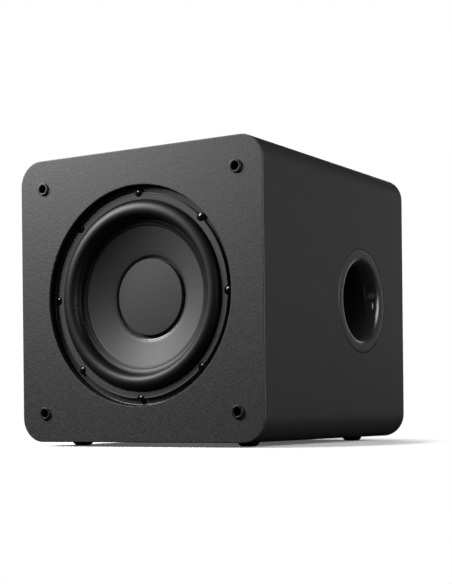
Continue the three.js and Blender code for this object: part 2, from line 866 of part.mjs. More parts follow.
// A pan-head screw. out is 1 where the head faces backwards and -1 where it faces forwards,
// and seat is the depth of the face under the head.
function screw(x, z, seat, out, head, shank) {
  const profile = [
    [0, -shank.length],
    [shank.radius * screwPointShare, -shank.length],
    [shank.radius, 2 * shank.radius - shank.length],
    [shank.radius, 0],
    [head.radius, 0],
    [head.radius, head.height * screwRimShare],
    [head.radius * screwCrownShare, head.height],
    [0, head.height],
  ];
  const geometry = turned(profile, shankSides);
  if (out < 0) geometry.rotateX(Math.PI);
  return solid(geometry.translate(x, seat, z));
}

function driverScrew([x, z]) {
  const head = { radius: driverScrewHeadRadius, height: driverScrewHeadHeight };
  const shank = { radius: driverScrewRadius, length: driverScrewLength };
  return screw(x, z, frameTop - gap, -1, head, shank);
}

// ---------------------------------------------------------------------------------------------
// Amplifier
// ---------------------------------------------------------------------------------------------

function ampScrew([x, z]) {
  const head = { radius: ampScrewHeadRadius, height: ampScrewHeadHeight };
  const shank = { radius: ampScrewRadius, length: ampScrewLength };
  return screw(x, z, ampPlateBack + gap, 1, head, shank);
}

const knobPlaces = [1, -1].map((side) => [side * controlSpread, centreHeight + knobHeightAboveCentre]);
const leverHeight = centreHeight + leverHeightAboveCentre;
const jackPlaces = [-1, 1].map((side) => [(side * jackSpacing) / 2, leverHeight]);

// The two levers: where each rests, and how far it reaches to each side of that.
const levers = {
  phase: { x: controlSpread, reach: [0, phaseTravel] },
  mode: { x: -controlSpread, reach: [-modeTravel, modeTravel] },
};

// The slot that a lever runs in, between two depths.
function leverSlot({ x, reach }, fromY, toY) {
  const side = leverWidth / 2 + leverClearance;
  const [left, right] = reach;
  return box([x + left - side, fromY, leverHeight - side], [x + right + side, toY, leverHeight + side]);
}

function ampPlate() {
  const sheet = plate(ampWidth, ampHeight, ampCornerRadius, ampPlateFront, ampPlateBack);
  const front = ampPlateFront - cutOver;
  const back = ampPlateBack + cutOver;
  const screwHoles = ampScrewPlaces.map(([x, z]) => rod(x, z, ampScrewRadius + gap,
    front, back, shankSides));
  const bushHoles = knobPlaces.map(([x, z]) => rod(x, z, bushRadius + gap, front, back));
  const jackHoles = jackPlaces.map(([x, z]) => rod(x, z, jackRadius + gap, front, back));
  const slots = Object.values(levers).map((lever) => leverSlot(lever, front, back));
  const inletHole = block(inletOffset, mainsHeight,
    inletBodyWidth + 2 * gap, inletBodyHeight + 2 * gap, front, back);
  const switchHole = block(-inletOffset, mainsHeight, switchWidth - 2 * switchBodyWall + 2 * gap,
    switchHeight - 2 * switchBodyWall + 2 * gap, front, back);
  return cut(sheet, [...screwHoles, ...bushHoles, ...jackHoles, ...slots, inletHole, switchHole]);
}

function ampSeal() {
  const back = ampSealFront + ampSealThickness;
  const ring = cut(plate(ampWidth, ampHeight, ampCornerRadius, ampSealFront, back), [
    plate(ampWidth - 2 * ampRim, ampHeight - 2 * ampRim, ampCornerRadius,
      ampSealFront - cutOver, back + cutOver),
  ]);
  const holes = ampScrewPlaces.map(([x, z]) => rod(x, z, ampScrewRadius + gap,
    ampSealFront - cutOver, back + cutOver, shankSides));
  return cut(ring, holes);
}

// The board with what is soldered to it: two pots with threaded bushes that go through the
// plate, two lever cans, and the connector of the speaker lead on its other side.
const connectorPlace = [controlSpread, boardCentreHeight + boardHeight / 2 - connectorSize];

function circuitBoard() {
  const board = block(0, boardCentreHeight, boardWidth, boardHeight, boardFront, boardBack);
  const pots = knobPlaces.flatMap(([x, z]) => [
    block(x, z, potWidth, potWidth, boardBack - boardThickness / 2, boardBack + potDepth),
    rod(x, z, bushRadius, boardBack + potDepth - joinOver, ampPlateBack),
  ]);
  const bores = knobPlaces.map(([x, z]) => rod(x, z, shaftRadius + gap,
    shaftRoot - gap, ampPlateBack + cutOver));
  const cans = Object.values(levers).map(({ x }) => block(x, leverHeight, leverCanWidth, leverCanHeight,
    boardBack - boardThickness / 2, boardBack + leverCanDepth));
  const slots = Object.values(levers).map((lever) => leverSlot(lever, leverRoot, ampPlateFront));
  const [x, z] = connectorPlace;
  const connector = block(x, z, connectorSize, connectorSize,
    boardFront - connectorDepth, boardFront + boardThickness / 2);
  return cut(join([board, ...pots, ...cans, connector]), [...bores, ...slots]);
}

function lineJacks() {
  const bodyFront = ampPlateFront - gap - jackBlockDepth;
  const body = block(0, leverHeight, 2 * jackSpacing, jackBlockHeight, bodyFront, ampPlateFront - gap);
  const tip = ampPlateBack + jackProud;
  const barrels = jackPlaces.map(([x, z]) => rod(x, z, jackRadius, bodyFront + joinOver, tip));
  const holes = jackPlaces.map(([x, z]) => rod(x, z, jackHoleRadius,
    bodyFront + jackHoleFloor, tip + cutOver, shankSides));
  return cut(join([body, ...barrels]), holes);
}

// A knob with a straight grip, a soft front edge and a raised pointer, pressed on its shaft.
function knob([x, z]) {
  const back = knobBack + knobLength;
  const gripRadius = knobRadius - knobSkirtWidth;
  const endRadius = gripRadius - knobTaper;
  const profile = [
    [0, knobBack],
    [knobRadius, knobBack],
    [knobRadius, knobBack + knobSkirtHeight],
    [gripRadius, knobBack + knobSkirtHeight + knobSkirtWidth],
    [endRadius, back - knobSoftEdge],
    [endRadius - knobSoftEdge, back],
    [0, back],
  ];
  const grip = solid(turned(profile, motorSides).translate(x, 0, z));
  const pointer = block(x, z + knobRadius / 2, pointerWidth, knobRadius - pointerInset,
    back - joinOver, back + pointerProud);
  const bore = rod(x, z, shaftRadius + gap, knobBack - cutOver, knobBack + knobGrip + gap);
  return cut(join([grip, pointer]), [bore]);
}

function knobShaft([x, z]) {
  return rod(x, z, shaftRadius, shaftRoot, knobBack + knobGrip);
}

function slideLever({ x }) {
  return block(x, leverHeight, leverWidth, leverWidth, leverRoot + gap, ampPlateBack + leverProud);
}

// A can with a crimped groove near the board. The first stands on the centre line.
function filterCapacitor(x) {
  const foot = boardFront - gap;
  const top = foot - capacitorLength;
  const crimpEnd = foot - capacitorFoot;
  const profile = [
    [0, top],
    [capacitorRadius - capacitorSoftEdge, top],
    [capacitorRadius, top + capacitorSoftEdge],
    [capacitorRadius, crimpEnd - 2 * capacitorCrimpWidth],
    [capacitorRadius - capacitorCrimpDepth, crimpEnd - capacitorCrimpWidth],
    [capacitorRadius, crimpEnd],
    [capacitorRadius, foot],
    [0, foot],
  ];
  return solid(turned(profile, smallSides).translate(x, 0, boardCentreHeight));
}

// A mains inlet: a flange outside the plate, a body through it, and three pins in its cavity.
function powerInlet() {
  const flangeBack = ampPlateBack + gap + inletFlangeThickness;
  const bodyFront = flangeBack - inletBodyDepth;
  const flange = block(inletOffset, mainsHeight, inletFlangeWidth, inletFlangeHeight,
    ampPlateBack + gap, flangeBack);
  const body = block(inletOffset, mainsHeight, inletBodyWidth, inletBodyHeight, bodyFront, flangeBack);
  const cavity = block(inletOffset, mainsHeight, inletCavityWidth, inletCavityHeight,
    flangeBack - inletCavityDepth, flangeBack + cutOver);
  const floor = flangeBack - inletCavityDepth;
  const pins = [-1, 0, 1].map((place) => block(inletOffset + place * inletPinSpacing,
    mainsHeight + (place ? -inletPinStagger : inletPinStagger), inletPinWidth, inletPinHeight,
    floor - joinOver, floor + inletPinLength));
  return join([cut(join([flange, body]), [cavity]), ...pins]);
}

const switchFace = ampPlateBack + gap + switchBezel;

function powerSwitch() {
  const bodyWidth = switchWidth - 2 * switchBodyWall;
  const bodyHeight = switchHeight - 2 * switchBodyWall;
  const bezel = block(-inletOffset, mainsHeight, switchWidth, switchHeight, ampPlateBack + gap, switchFace);
  const body = block(-inletOffset, mainsHeight, bodyWidth, bodyHeight,
    switchFace - switchBodyDepth, switchFace);
  const cavity = block(-inletOffset, mainsHeight, bodyWidth - 2 * switchSideWall,
    bodyHeight - 2 * switchEndWall, switchFace - switchCavityDepth, switchFace + cutOver);
  return cut(join([bezel, body]), [cavity]);
}

// The rocker's side outline has two rises with a dip between them. At rest its lower end is in.
function powerRocker() {
  const width = switchWidth - 2 * (switchBodyWall + switchSideWall + rockerClearance);
  const outline = [
    [-rockerHalfLength, -rockerUnder],
    [rockerHalfLength, -rockerUnder],
    [rockerHalfLength, rockerRise],
    [0, rockerDip],
    [-rockerHalfLength, rockerRise],
  ].map(([along, outwards]) => new THREE.Vector2(along, outwards));
  const shape = new THREE.Shape(outline);
  const geometry = new THREE.ExtrudeGeometry(shape, { depth: width, bevelEnabled: false });
  geometry.translate(0, 0, -width / 2);
  // The outline's first axis becomes Z, its second Y, and the extrusion runs along X.
  geometry.applyMatrix4(new THREE.Matrix4().makeBasis(
    new THREE.Vector3(0, 0, 1), new THREE.Vector3(0, 1, 0), new THREE.Vector3(-1, 0, 0)));
  geometry.rotateX(THREE.MathUtils.degToRad(-rockerTilt));
  return solid(geometry.translate(-inletOffset, switchFace - rockerPivotDepth, mainsHeight));
}

// A laminated core with its winding, on a foot plate screwed to the inside of the plate.
function transformer() {
  const back = ampPlateFront - gap;
  const front = back - transformerDepth;
  const x = -innerRowSpread;
  const footPlate = block(x, innerRowHeight, transformerWidth + transformerFootSpread,
    transformerHeight * transformerFootShare, back - transformerFoot, back);
  const core = block(x, innerRowHeight, transformerWidth, transformerHeight,
    front + windingBulge, back - transformerFoot + joinOver);
  const winding = block(x, innerRowHeight, windingWidth, windingHeight, front, back - windingInset);
  const sides = block(x, innerRowHeight, windingWidth, transformerHeight + 2 * windingBulge,
    front + windingBulge + windingInset, back - windingInset);
  return join([footPlate, core, winding, sides]);
}

function heatSink() {
  const back = ampPlateFront - gap;
  const x = innerRowSpread;
  const base = block(x, innerRowHeight, heatSinkWidth, heatSinkHeight, back - heatSinkBase, back);
  const pitch = (heatSinkWidth - finThickness) / (finCount - 1);
  const fins = Array.from({ length: finCount }, (_, i) => block(
    x - heatSinkWidth / 2 + finThickness / 2 + i * pitch, innerRowHeight, finThickness, heatSinkHeight,
    back - heatSinkBase - finDepth, back - heatSinkBase + joinOver));
  return join([base, ...fins]);
}

// The speaker lead leaves the board's connector, passes over the port tube and through the
// brace's window, and goes down to the driver's terminals.
function speakerLead() {
  const [x, z] = connectorPlace;
  const start = boardFront - connectorDepth - gap;
  const end = terminalBossBack + gap;
  const route = new THREE.CatmullRomCurve3([
    new THREE.Vector3(x, start, z),
    new THREE.Vector3(x, start - 14, z),
    new THREE.Vector3(x - 4, portDepth + 30, z - 3),
    new THREE.Vector3(x - 12, portDepth, z - 7),
    new THREE.Vector3(x - 22, portDepth - 34, z - 10),
    new THREE.Vector3(x - 30, braceDepth + braceThickness + 8, z - 15),
    new THREE.Vector3(x - 37, braceDepth - 14, terminalHeight + 6),
    new THREE.Vector3(0, end + 14, terminalHeight + 1),
    new THREE.Vector3(0, end, terminalHeight),
  ], false, 'centripetal');
  const section = new THREE.Shape().absarc(0, 0, leadRadius, 0, 2 * Math.PI);
  const steps = Math.round(route.getLength() / (5 * leadRadius));
  const bend = { steps, curveSegments: shankSides, extrudePath: route };
  return solid(new THREE.ExtrudeGeometry(section, bend));
}

// ---------------------------------------------------------------------------------------------
// Assembly
// ---------------------------------------------------------------------------------------------

const subwoofer = new THREE.Group();

// Puts one named piece into a group.
function add(group, name, body, material) {
  const mesh = new THREE.Mesh(geometryOf(body), material);
  mesh.name = name;
  group.add(mesh);
}

// Puts a row of equal pieces into a group, numbered from 1.
function addRow(group, name, places, make, material) {
  places.forEach((place, i) => add(group, `${name}_${i + 1}`, make(place), material));
}

function addCabinet() {
  const cabinet = new THREE.Group();
  add(cabinet, 'cabinet_shell', cabinetShell(), finishes.wrappedBoard);
  add(cabinet, 'front_baffle', frontBaffle(), finishes.wrappedBoard);
  add(cabinet, 'rear_panel', rearPanel(), finishes.wrappedBoard);
  add(cabinet, 'internal_brace', internalBrace(), finishes.rawBoard);
  add(cabinet, 'port_flare', portFlare(), finishes.glossPlastic);
  add(cabinet, 'port_tube', portTube(), finishes.blackPlastic);
  add(cabinet, 'port_inner_flare', portInnerFlare(), finishes.blackPlastic);
  addRow(cabinet, 'grille_socket', socketPlaces, grilleSocket, finishes.rubber);
  addRow(cabinet, 'foot', footPlaces, foot, finishes.rubber);
  subwoofer.add(cabinet);
}

function addDriver() {
  const driver = new THREE.Group();
  add(driver, 'driver_basket', basket(), finishes.blackMetal);
  add(driver, 'driver_seal', driverSeal(), finishes.foam);
  add(driver, 'trim_gasket', trimGasket(), finishes.trimRubber);
  add(driver, 'surround', surround(), finishes.rubber);
  add(driver, 'cone', cone(), finishes.paper);
  add(driver, 'dust_cap', dustCap(), finishes.trimRubber);
  add(driver, 'voice_coil_former', voiceCoilFormer(), finishes.kapton);
  add(driver, 'voice_coil', voiceCoil(), finishes.copper);
  add(driver, 'spider', spider(), finishes.cloth);
  add(driver, 'top_plate', topPlate(), finishes.zincSteel);
  add(driver, 'magnet_ring', magnetRing(), finishes.ferrite);
  add(driver, 'pole_piece', polePiece(), finishes.zincSteel);
  add(driver, 'terminal_block', terminalBlock(), finishes.blackPlastic);
  addRow(driver, 'driver_screw', boltPlaces, driverScrew, finishes.blackSteel);
  subwoofer.add(driver);
}

function addAmplifier() {
  const amplifier = new THREE.Group();
  add(amplifier, 'amp_plate', ampPlate(), finishes.blackMetal);
  add(amplifier, 'amp_seal', ampSeal(), finishes.foam);
  addRow(amplifier, 'amp_screw', ampScrewPlaces, ampScrew, finishes.blackSteel);
  add(amplifier, 'circuit_board', circuitBoard(), finishes.circuitBoard);
  addRow(amplifier, 'filter_capacitor', [-capacitorSpread, 0], filterCapacitor, finishes.blackPlastic);
  add(amplifier, 'transformer', transformer(), finishes.windings);
  add(amplifier, 'heat_sink', heatSink(), finishes.aluminium);
  add(amplifier, 'power_inlet', powerInlet(), finishes.blackPlastic);
  add(amplifier, 'power_switch', powerSwitch(), finishes.blackPlastic);
  add(amplifier, 'power_rocker', powerRocker(), finishes.glossPlastic);
  add(amplifier, 'line_jacks', lineJacks(), finishes.tinnedMetal);
  add(amplifier, 'volume_knob', knob(knobPlaces[0]), finishes.blackPlastic);
  add(amplifier, 'volume_shaft', knobShaft(knobPlaces[0]), finishes.zincSteel);
  add(amplifier, 'crossover_knob', knob(knobPlaces[1]), finishes.blackPlastic);
  add(amplifier, 'crossover_shaft', knobShaft(knobPlaces[1]), finishes.zincSteel);
  add(amplifier, 'phase_lever', slideLever(levers.phase), finishes.blackPlastic);
  add(amplifier, 'mode_lever', slideLever(levers.mode), finishes.blackPlastic);
  add(amplifier, 'speaker_lead', speakerLead(), finishes.cable);
  subwoofer.add(amplifier);
}

addCabinet();
addDriver();
addAmplifier();

// The footprint runs from the socket lips in front to the knobs' pointers behind.
const frontMost = -socketProud;
const rearMost = knobBack + knobLength + pointerProud;
subwoofer.position.set(0, -(frontMost + rearMost) / 2, footHeight);

export default subwoofer;
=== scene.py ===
# %% [markdown]
# # A powered subwoofer, piece by piece
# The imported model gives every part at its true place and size. This lesson dresses it: each
# visible piece is rebuilt as a fine numpy surface in the same place, and gets a finish of its
# own. The frame is loaded first, because every later size is read from it.

# %% Load the frame
import math

import bmesh
import bpy
import numpy as np
from mathutils import Matrix, Vector


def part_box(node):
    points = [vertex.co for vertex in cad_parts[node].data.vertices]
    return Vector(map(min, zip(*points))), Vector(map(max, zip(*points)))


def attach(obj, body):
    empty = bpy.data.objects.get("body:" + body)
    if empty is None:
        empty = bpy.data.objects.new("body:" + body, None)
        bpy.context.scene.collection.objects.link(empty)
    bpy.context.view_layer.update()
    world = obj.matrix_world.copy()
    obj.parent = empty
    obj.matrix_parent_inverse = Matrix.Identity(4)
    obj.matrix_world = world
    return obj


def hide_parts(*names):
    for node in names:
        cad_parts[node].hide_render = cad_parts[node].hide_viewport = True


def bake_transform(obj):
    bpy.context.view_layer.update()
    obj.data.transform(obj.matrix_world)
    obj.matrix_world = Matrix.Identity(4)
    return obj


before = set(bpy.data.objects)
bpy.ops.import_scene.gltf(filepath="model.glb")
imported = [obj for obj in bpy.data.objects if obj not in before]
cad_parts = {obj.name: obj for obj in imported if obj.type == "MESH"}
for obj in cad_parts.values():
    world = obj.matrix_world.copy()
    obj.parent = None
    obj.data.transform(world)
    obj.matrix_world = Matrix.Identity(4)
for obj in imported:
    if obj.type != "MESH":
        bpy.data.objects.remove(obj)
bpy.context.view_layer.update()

MM = 0.001


def add_object(name, data):
    """A new object in the scene that shows the given mesh, lamp or camera data."""
    thing = bpy.data.objects.new(name, data)
    bpy.context.scene.collection.objects.link(thing)
    return thing


# %% [markdown]
# ## Places
# A box has a lowest and a highest corner, and a loudspeaker is measured back from its front
# face. So the lesson needs three reference places: the front face, the driver's axis and the
# port's axis. They come from the boxes of the CAD pieces, so nothing has to be fitted by eye.

# %% Reference places
def middle(node):
    """The centre of a CAD node's box: half the sum of its two corners."""
    low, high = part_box(node)
    return (low + high) / 2


def half_size(node):
    """Half the extent of a CAD node's box along X, Y and Z, as an array in millimetres."""
    low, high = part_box(node)
    return np.array(high - low) / 2 / MM


def front_place(node):
    """The point on the front face in line with the middle of a CAD node."""
    return Vector((middle(node).x, FRONT, middle(node).z))


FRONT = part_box("front_baffle")[0].y
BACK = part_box("rear_panel")[1].y
PLATE_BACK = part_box("amp_plate")[1].y
CENTRE = middle("front_baffle")
DRIVER = Vector((0, FRONT, middle("driver_basket").z))
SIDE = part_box("cabinet_shell")[1].x
PORT = Vector((SIDE, middle("port_flare").y, middle("port_flare").z))
CABINET_WIDTH, CABINET_HEIGHT = 2 * half_size("front_baffle")[[0, 2]]
CABINET_DEPTH = (BACK - FRONT) / MM

print("cabinet, mm:", round(CABINET_WIDTH), round(CABINET_HEIGHT), round(CABINET_DEPTH))

# %% [markdown]
# ## The camera
# A long lens, low down and to the right of the front, looks level, so that upright edges stay
# upright in the picture. A shift of the lens lifts the view instead of a tilt. The camera comes
# first, because everything after it is judged through it.

# %% Camera
CAMERA_PLACE = Vector((0.7529, -1.2360, 0.0366))
CAMERA_TURN = 0.5629  # radians from looking along +Y, to the left
CAMERA_ROLL = -0.0103
CAMERA_PITCH = -0.0005

forward = Vector((-math.sin(CAMERA_TURN), math.cos(CAMERA_TURN), math.tan(CAMERA_PITCH))).normalized()
level_right = Vector((math.cos(CAMERA_TURN), math.sin(CAMERA_TURN), 0))
level_up = level_right.cross(forward)
right = math.cos(CAMERA_ROLL) * level_right + math.sin(CAMERA_ROLL) * level_up
up = right.cross(forward)

camera_data = bpy.data.cameras.new("photographer")
camera_data.lens = 81.65
camera_data.shift_x = 0.036
camera_data.shift_y = 0.202
camera = add_object("photographer", camera_data)
turned_camera = Matrix((right, up, -forward)).transposed().to_4x4()
camera.matrix_world = Matrix.Translation(CAMERA_PLACE) @ turned_camera
bpy.context.scene.camera = camera
print("camera to driver, m:", round((CAMERA_PLACE - DRIVER).length, 3))

# %% [markdown]
# ## Surfaces from arrays
# Nearly everything here is either turned on a lathe or drawn round an outline. Both are a grid
# of points: one direction runs along a profile, the other runs round. numpy works out the
# whole grid at once, and the grid's quads follow from row and column numbers. A sharp corner
# never catches light, so profiles get small curves at their corners.

# %% Grids and profiles
def piece_from(name, points, quads, sharp_degrees=38):
    """A mesh object from (n, 3) points in metres and (m, 4) quads. Points that coincide are
    merged, which closes poles and seams, and faces are turned to point outwards."""
    mesh = bpy.data.meshes.new(name)
    mesh.from_pydata(points.tolist(), [], quads.tolist())
    shape = bmesh.new()
    shape.from_mesh(mesh)
    bmesh.ops.remove_doubles(shape, verts=shape.verts, dist=1e-6)
    bmesh.ops.dissolve_degenerate(shape, edges=shape.edges, dist=1e-7)
    bmesh.ops.recalc_face_normals(shape, faces=shape.faces)
    shape.to_mesh(mesh)
    shape.free()
    soften(mesh, sharp_degrees)
    piece = add_object(name, mesh)
    return piece


def soften(mesh, sharp_degrees=38):
    """Smooth shading, except over edges that turn by more than the given angle."""
    mesh.shade_smooth()
    mesh.set_sharp_from_angle(angle=math.radians(sharp_degrees))


def grid_quads(rows, columns, close_rows=True):
    """Quads between neighbouring rows and columns. Columns always close on themselves, and
    rows do too where the profile is a closed loop."""
    row = np.arange(rows if close_rows else rows - 1)[:, None]
    column = np.arange(columns)[None, :]
    next_row = (row + 1) % rows
    next_column = (column + 1) % columns
    corners = (row * columns + column, row * columns + next_column,
               next_row * columns + next_column, next_row * columns + column)
    return np.stack(np.broadcast_arrays(*corners), axis=-1).reshape(-1, 4)


def rounded(corners, steps=4):
    """A closed profile whose corners, given as (across, along, softness), are replaced by
    short curves. Each curve is a quadratic Bezier from one side of the corner to the other,
    starting and ending the softness away, or at most 0.45 of the side."""
    place = np.array([corner[:2] for corner in corners], float)
    soft = np.array([corner[2] if len(corner) > 2 else 0.0 for corner in corners])
    back, ahead = np.roll(place, 1, axis=0) - place, np.roll(place, -1, axis=0) - place
    back_length = np.linalg.norm(back, axis=1, keepdims=True)
    ahead_length = np.linalg.norm(ahead, axis=1, keepdims=True)
    start = place + back / back_length * np.minimum(soft[:, None], 0.45 * back_length)
    end = place + ahead / ahead_length * np.minimum(soft[:, None], 0.45 * ahead_length)
    t = np.linspace(0, 1, steps + 1)[None, :, None]
    curve = (1 - t) ** 2 * start[:, None] + 2 * t * (1 - t) * place[:, None] + t ** 2 * end[:, None]
    keep = [curve[i] if soft[i] else place[i:i + 1] for i in range(len(place))]
    return np.concatenate(keep)


AXES = {
    "x": (Vector((0, 1, 0)), Vector((0, 0, 1)), Vector((-1, 0, 0))),
    "y": (Vector((1, 0, 0)), Vector((0, 0, 1)), Vector((0, 1, 0))),
    "z": (Vector((1, 0, 0)), Vector((0, 1, 0)), Vector((0, 0, 1))),
}


def turned(name, profile, origin, axis="y", around=144, sharp_degrees=38, flutes=None):
    """A lathe shape: each profile point, given as (radius, distance along the axis), becomes a
    circle. flutes is (count, depth, from, to): between those distances the radius at an angle t
    is less by depth * (1 + cos(count * t)) / 2."""
    turn = np.linspace(0, 2 * np.pi, around, endpoint=False)
    circle = np.stack([np.cos(turn), np.sin(turn)], axis=1)
    count, depth, start, end = flutes or (0, 0, 0, 0)
    dip = depth * (1 + np.cos(count * turn)) / 2
    bands = [((radius - dip * (start < distance < end))[:, None] * circle, distance)
             for radius, distance in profile]
    return banded(name, bands, origin, axis, sharp_degrees)


def outline(width, height, radius, side_steps=36, corner_steps=12):
    """A rectangle with round corners, anticlockwise, as (n, 2) points in millimetres. Each
    corner is a quarter circle, and each side is cut into equal steps, so outlines of any
    size have the same count and can be joined point by point."""
    turn = np.linspace(0, np.pi / 2, corner_steps + 1)
    reach = np.array([width / 2 - radius, height / 2 - radius])
    signs = np.array([[1, -1], [1, 1], [-1, 1], [-1, -1]])
    starts = np.array([-np.pi / 2, 0, np.pi / 2, np.pi])
    corners = [sign * reach + radius * np.stack([np.cos(start + turn), np.sin(start + turn)], axis=1)
               for sign, start in zip(signs, starts)]
    share = np.linspace(0, 1, side_steps + 1)[1:-1, None]
    sides = [(1 - share) * corners[i][-1] + share * corners[(i + 1) % 4][0] for i in range(4)]
    return np.concatenate([part for pair in zip(corners, sides) for part in pair])


def banded(name, bands, origin, axis="y", sharp_degrees=38):
    """A closed surface through a row of outlines. Each band is ((n, 2) outline, distance along
    the axis), in millimetres, and the last band joins the first again."""
    first, second, along = (np.array(v) for v in AXES[axis])
    rings = [np.array(origin) + MM * (ring[:, 0:1] * first + ring[:, 1:2] * second + distance * along)
             for ring, distance in bands]
    quads = grid_quads(len(rings), len(rings[0]))
    return piece_from(name, np.concatenate(rings), quads, sharp_degrees)


HOLD = 0.6  # how close to an edge an extra row keeps a flat face flat


def prism(name, ring, low, high, origin, slot, axis="y", soft=0.0):
    """A closed bar between two distances along an axis. Its ends shrink to a point, and with a
    softness the last of its length narrows by as much, which rounds the end edges."""
    point = np.zeros_like(ring) + ring.mean(axis=0)
    reach = np.linalg.norm(ring - point, axis=1, keepdims=True)
    narrow, narrower = (point + (ring - point) * (1 - share * soft / reach) for share in (0.3, 1))
    hold = point + (ring - point) * (1 - (soft + HOLD) / reach)
    ends = [(ring, low)]
    if soft:
        ends = [(hold, low), (narrower, low), (narrow, low + 0.3 * soft),
                (ring, low + soft), (ring, low + 2 * soft)]
    far_ends = [(band, low + high - distance) for band, distance in reversed(ends)]
    return banded(name, [(point, low), *ends, *far_ends, (point, high)], origin, axis)


def cut(piece, cutters, sharp_degrees=38, operation="DIFFERENCE"):
    """The piece without the space of the cutters, or joined with them where the operation is
    UNION, by exact booleans that are applied."""
    for cutter in cutters:
        step = piece.modifiers.new("cut", "BOOLEAN")
        step.operation = operation
        step.solver = "EXACT"
        step.object = cutter
    bpy.context.view_layer.update()
    result = bpy.data.meshes.new_from_object(piece.evaluated_get(bpy.context.evaluated_depsgraph_get()))
    piece.modifiers.clear()
    piece.data = result
    soften(result, sharp_degrees)
    for cutter in cutters:
        bpy.data.objects.remove(cutter)
    return piece


def cylinder(radius, low, high, place, axis="y", around=48):
    """A plain cylinder between two distances along an axis, to cut with."""
    return turned("cutter", [(0, low), (radius, low), (radius, high), (0, high)], place, axis, around)


def stands_for(piece, body, *nodes):
    """Hides the CAD nodes and lets the new piece move with their body."""
    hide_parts(*nodes)
    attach(piece, body)
    print(f"{piece.name}: {len(piece.data.polygons)} faces for {', '.join(nodes) or 'itself'}")
    return piece


def ray_circle(ring, radius):
    """Points on a circle in the same directions from the middle as the points of a ring."""
    return radius * ring / np.linalg.norm(ring, axis=1, keepdims=True)


# %% [markdown]
# ## The cabinet
# The box is one board folded round, and its front and back are let in with a mitre, so the
# joints lie exactly on the edges. A plain cube with a Bevel modifier could stand for it, but
# then front, back and side would be one piece. Instead an outline is carried through a closed
# profile, which gives the walls their thickness and their mitred ends.

# %% Cabinet walls
CORNER = 25.0
WALL = 15.0
EDGE = 0.7  # the softness of a wrapped edge
JOINT = 0.42  # what the mitre leaves open along the depth
PORT_SEAT = 55.3
PORT_SEAT_DEPTH = 4.3
PORT_HOLE = 45.8


def cabinet_ring(inset):
    """The cabinet's outline, drawn in by a distance."""
    return outline(CABINET_WIDTH - 2 * inset, CABINET_HEIGHT - 2 * inset, CORNER - inset)


def from_back(bands):
    """The same bands, measured from the cabinet's back instead of its front."""
    return [(ring, CABINET_DEPTH - distance) for ring, distance in bands]


CABINET_AXIS = Vector((0, FRONT, CENTRE.z))
wall_end = [
    (cabinet_ring(EDGE * 0.8), JOINT + EDGE * 0.2),
    (cabinet_ring(EDGE * 0.25), JOINT + EDGE * 0.4),
    (cabinet_ring(0), JOINT + EDGE),
    (cabinet_ring(0), JOINT + EDGE + HOLD),
]
walls = banded("wrapped_cabinet", [
    *wall_end,
    *[(cabinet_ring(0), row) for row in np.linspace(WALL + 3, CABINET_DEPTH - WALL - 3, 16)],
    *from_back(wall_end)[::-1],
    (cabinet_ring(WALL), CABINET_DEPTH - WALL - JOINT),
    *[(cabinet_ring(WALL), row) for row in np.linspace(CABINET_DEPTH - 2 * WALL, 2 * WALL, 14)],
    (cabinet_ring(WALL), WALL + JOINT),
], CABINET_AXIS)
cut(walls, [
    cylinder(PORT_SEAT, -2, PORT_SEAT_DEPTH, PORT, axis="x", around=144),
    cylinder(PORT_HOLE, 2, WALL + 2, PORT, axis="x", around=144),
])
stands_for(walls, "cabinet", "cabinet_shell")

# %% [markdown]
# ## The front and the back
# The front board has a round recess for the driver. Its rows of points run from the square
# outline to the circle, so that each stays in line with the middle. Four blind holes hold the
# sockets of a grille. The back board is the same idea with a square window for the amplifier.

# %% Front board
RECESS = half_size("driver_basket")[0] + 0.6
RECESS_FLOOR = 15.3
DRIVER_HOLE = 93.5
BAFFLE = 2 * half_size("front_baffle")[1]
PLUG = WALL + 0.3  # how far the let-in part of a board stays inside the outline
SOCKETS = [f"grille_socket_{i}" for i in (1, 2, 3, 4)]

outer = cabinet_ring(0)
board_edge = [(outer, EDGE), (cabinet_ring(EDGE * 0.3), EDGE * 0.3), (cabinet_ring(EDGE), 0)]
face_outer, face_inner = cabinet_ring(EDGE + HOLD), ray_circle(outer, RECESS + 0.5 + HOLD)
recess_edge = [(RECESS + 0.5, 0), (RECESS + 0.12, 0.12), (RECESS, 0.6), (RECESS, 0.6 + HOLD)]
recess_floor = [(RECESS, RECESS_FLOOR), (DRIVER_HOLE, RECESS_FLOOR), (DRIVER_HOLE, BAFFLE)]
front = banded("front_board", [
    *board_edge,
    *[((1 - t) * face_outer + t * face_inner, 0) for t in np.linspace(0, 1, 9)],
    *[(ray_circle(outer, radius), depth) for radius, depth in recess_edge + recess_floor],
    (cabinet_ring(PLUG), BAFFLE),
    (cabinet_ring(PLUG), PLUG),
], CABINET_AXIS)
SOCKET_HOLE, SOCKET_HOLE_DEPTH = 5.5, 14.3
cut(front, [cylinder(SOCKET_HOLE, -1, SOCKET_HOLE_DEPTH, front_place(name))
            for name in SOCKETS])
stands_for(front, "cabinet", "front_baffle")

# %% Back board
REAR = 2 * half_size("rear_panel")[1]
AMP_WIDTH, AMP_HEIGHT = 2 * half_size("amp_plate")[[0, 2]]
AMP_RIM = 14.0
AMP_CORNER = 7.0
window = outline(AMP_WIDTH - 2 * AMP_RIM, AMP_HEIGHT - 2 * AMP_RIM, AMP_CORNER)
back_board = banded("back_board", [
    *from_back(board_edge),
    (cabinet_ring(EDGE + HOLD), CABINET_DEPTH),
    (window, CABINET_DEPTH),
    (window, CABINET_DEPTH - REAR),
    (cabinet_ring(PLUG), CABINET_DEPTH - REAR),
    (cabinet_ring(PLUG), CABINET_DEPTH - PLUG),
], CABINET_AXIS)
stands_for(back_board, "cabinet", "rear_panel")

# %% [markdown]
# ## Grille sockets and feet
# Both are soft rubber pushed into holes. They are small, but their rims catch the light, so
# their profiles are rounded well.

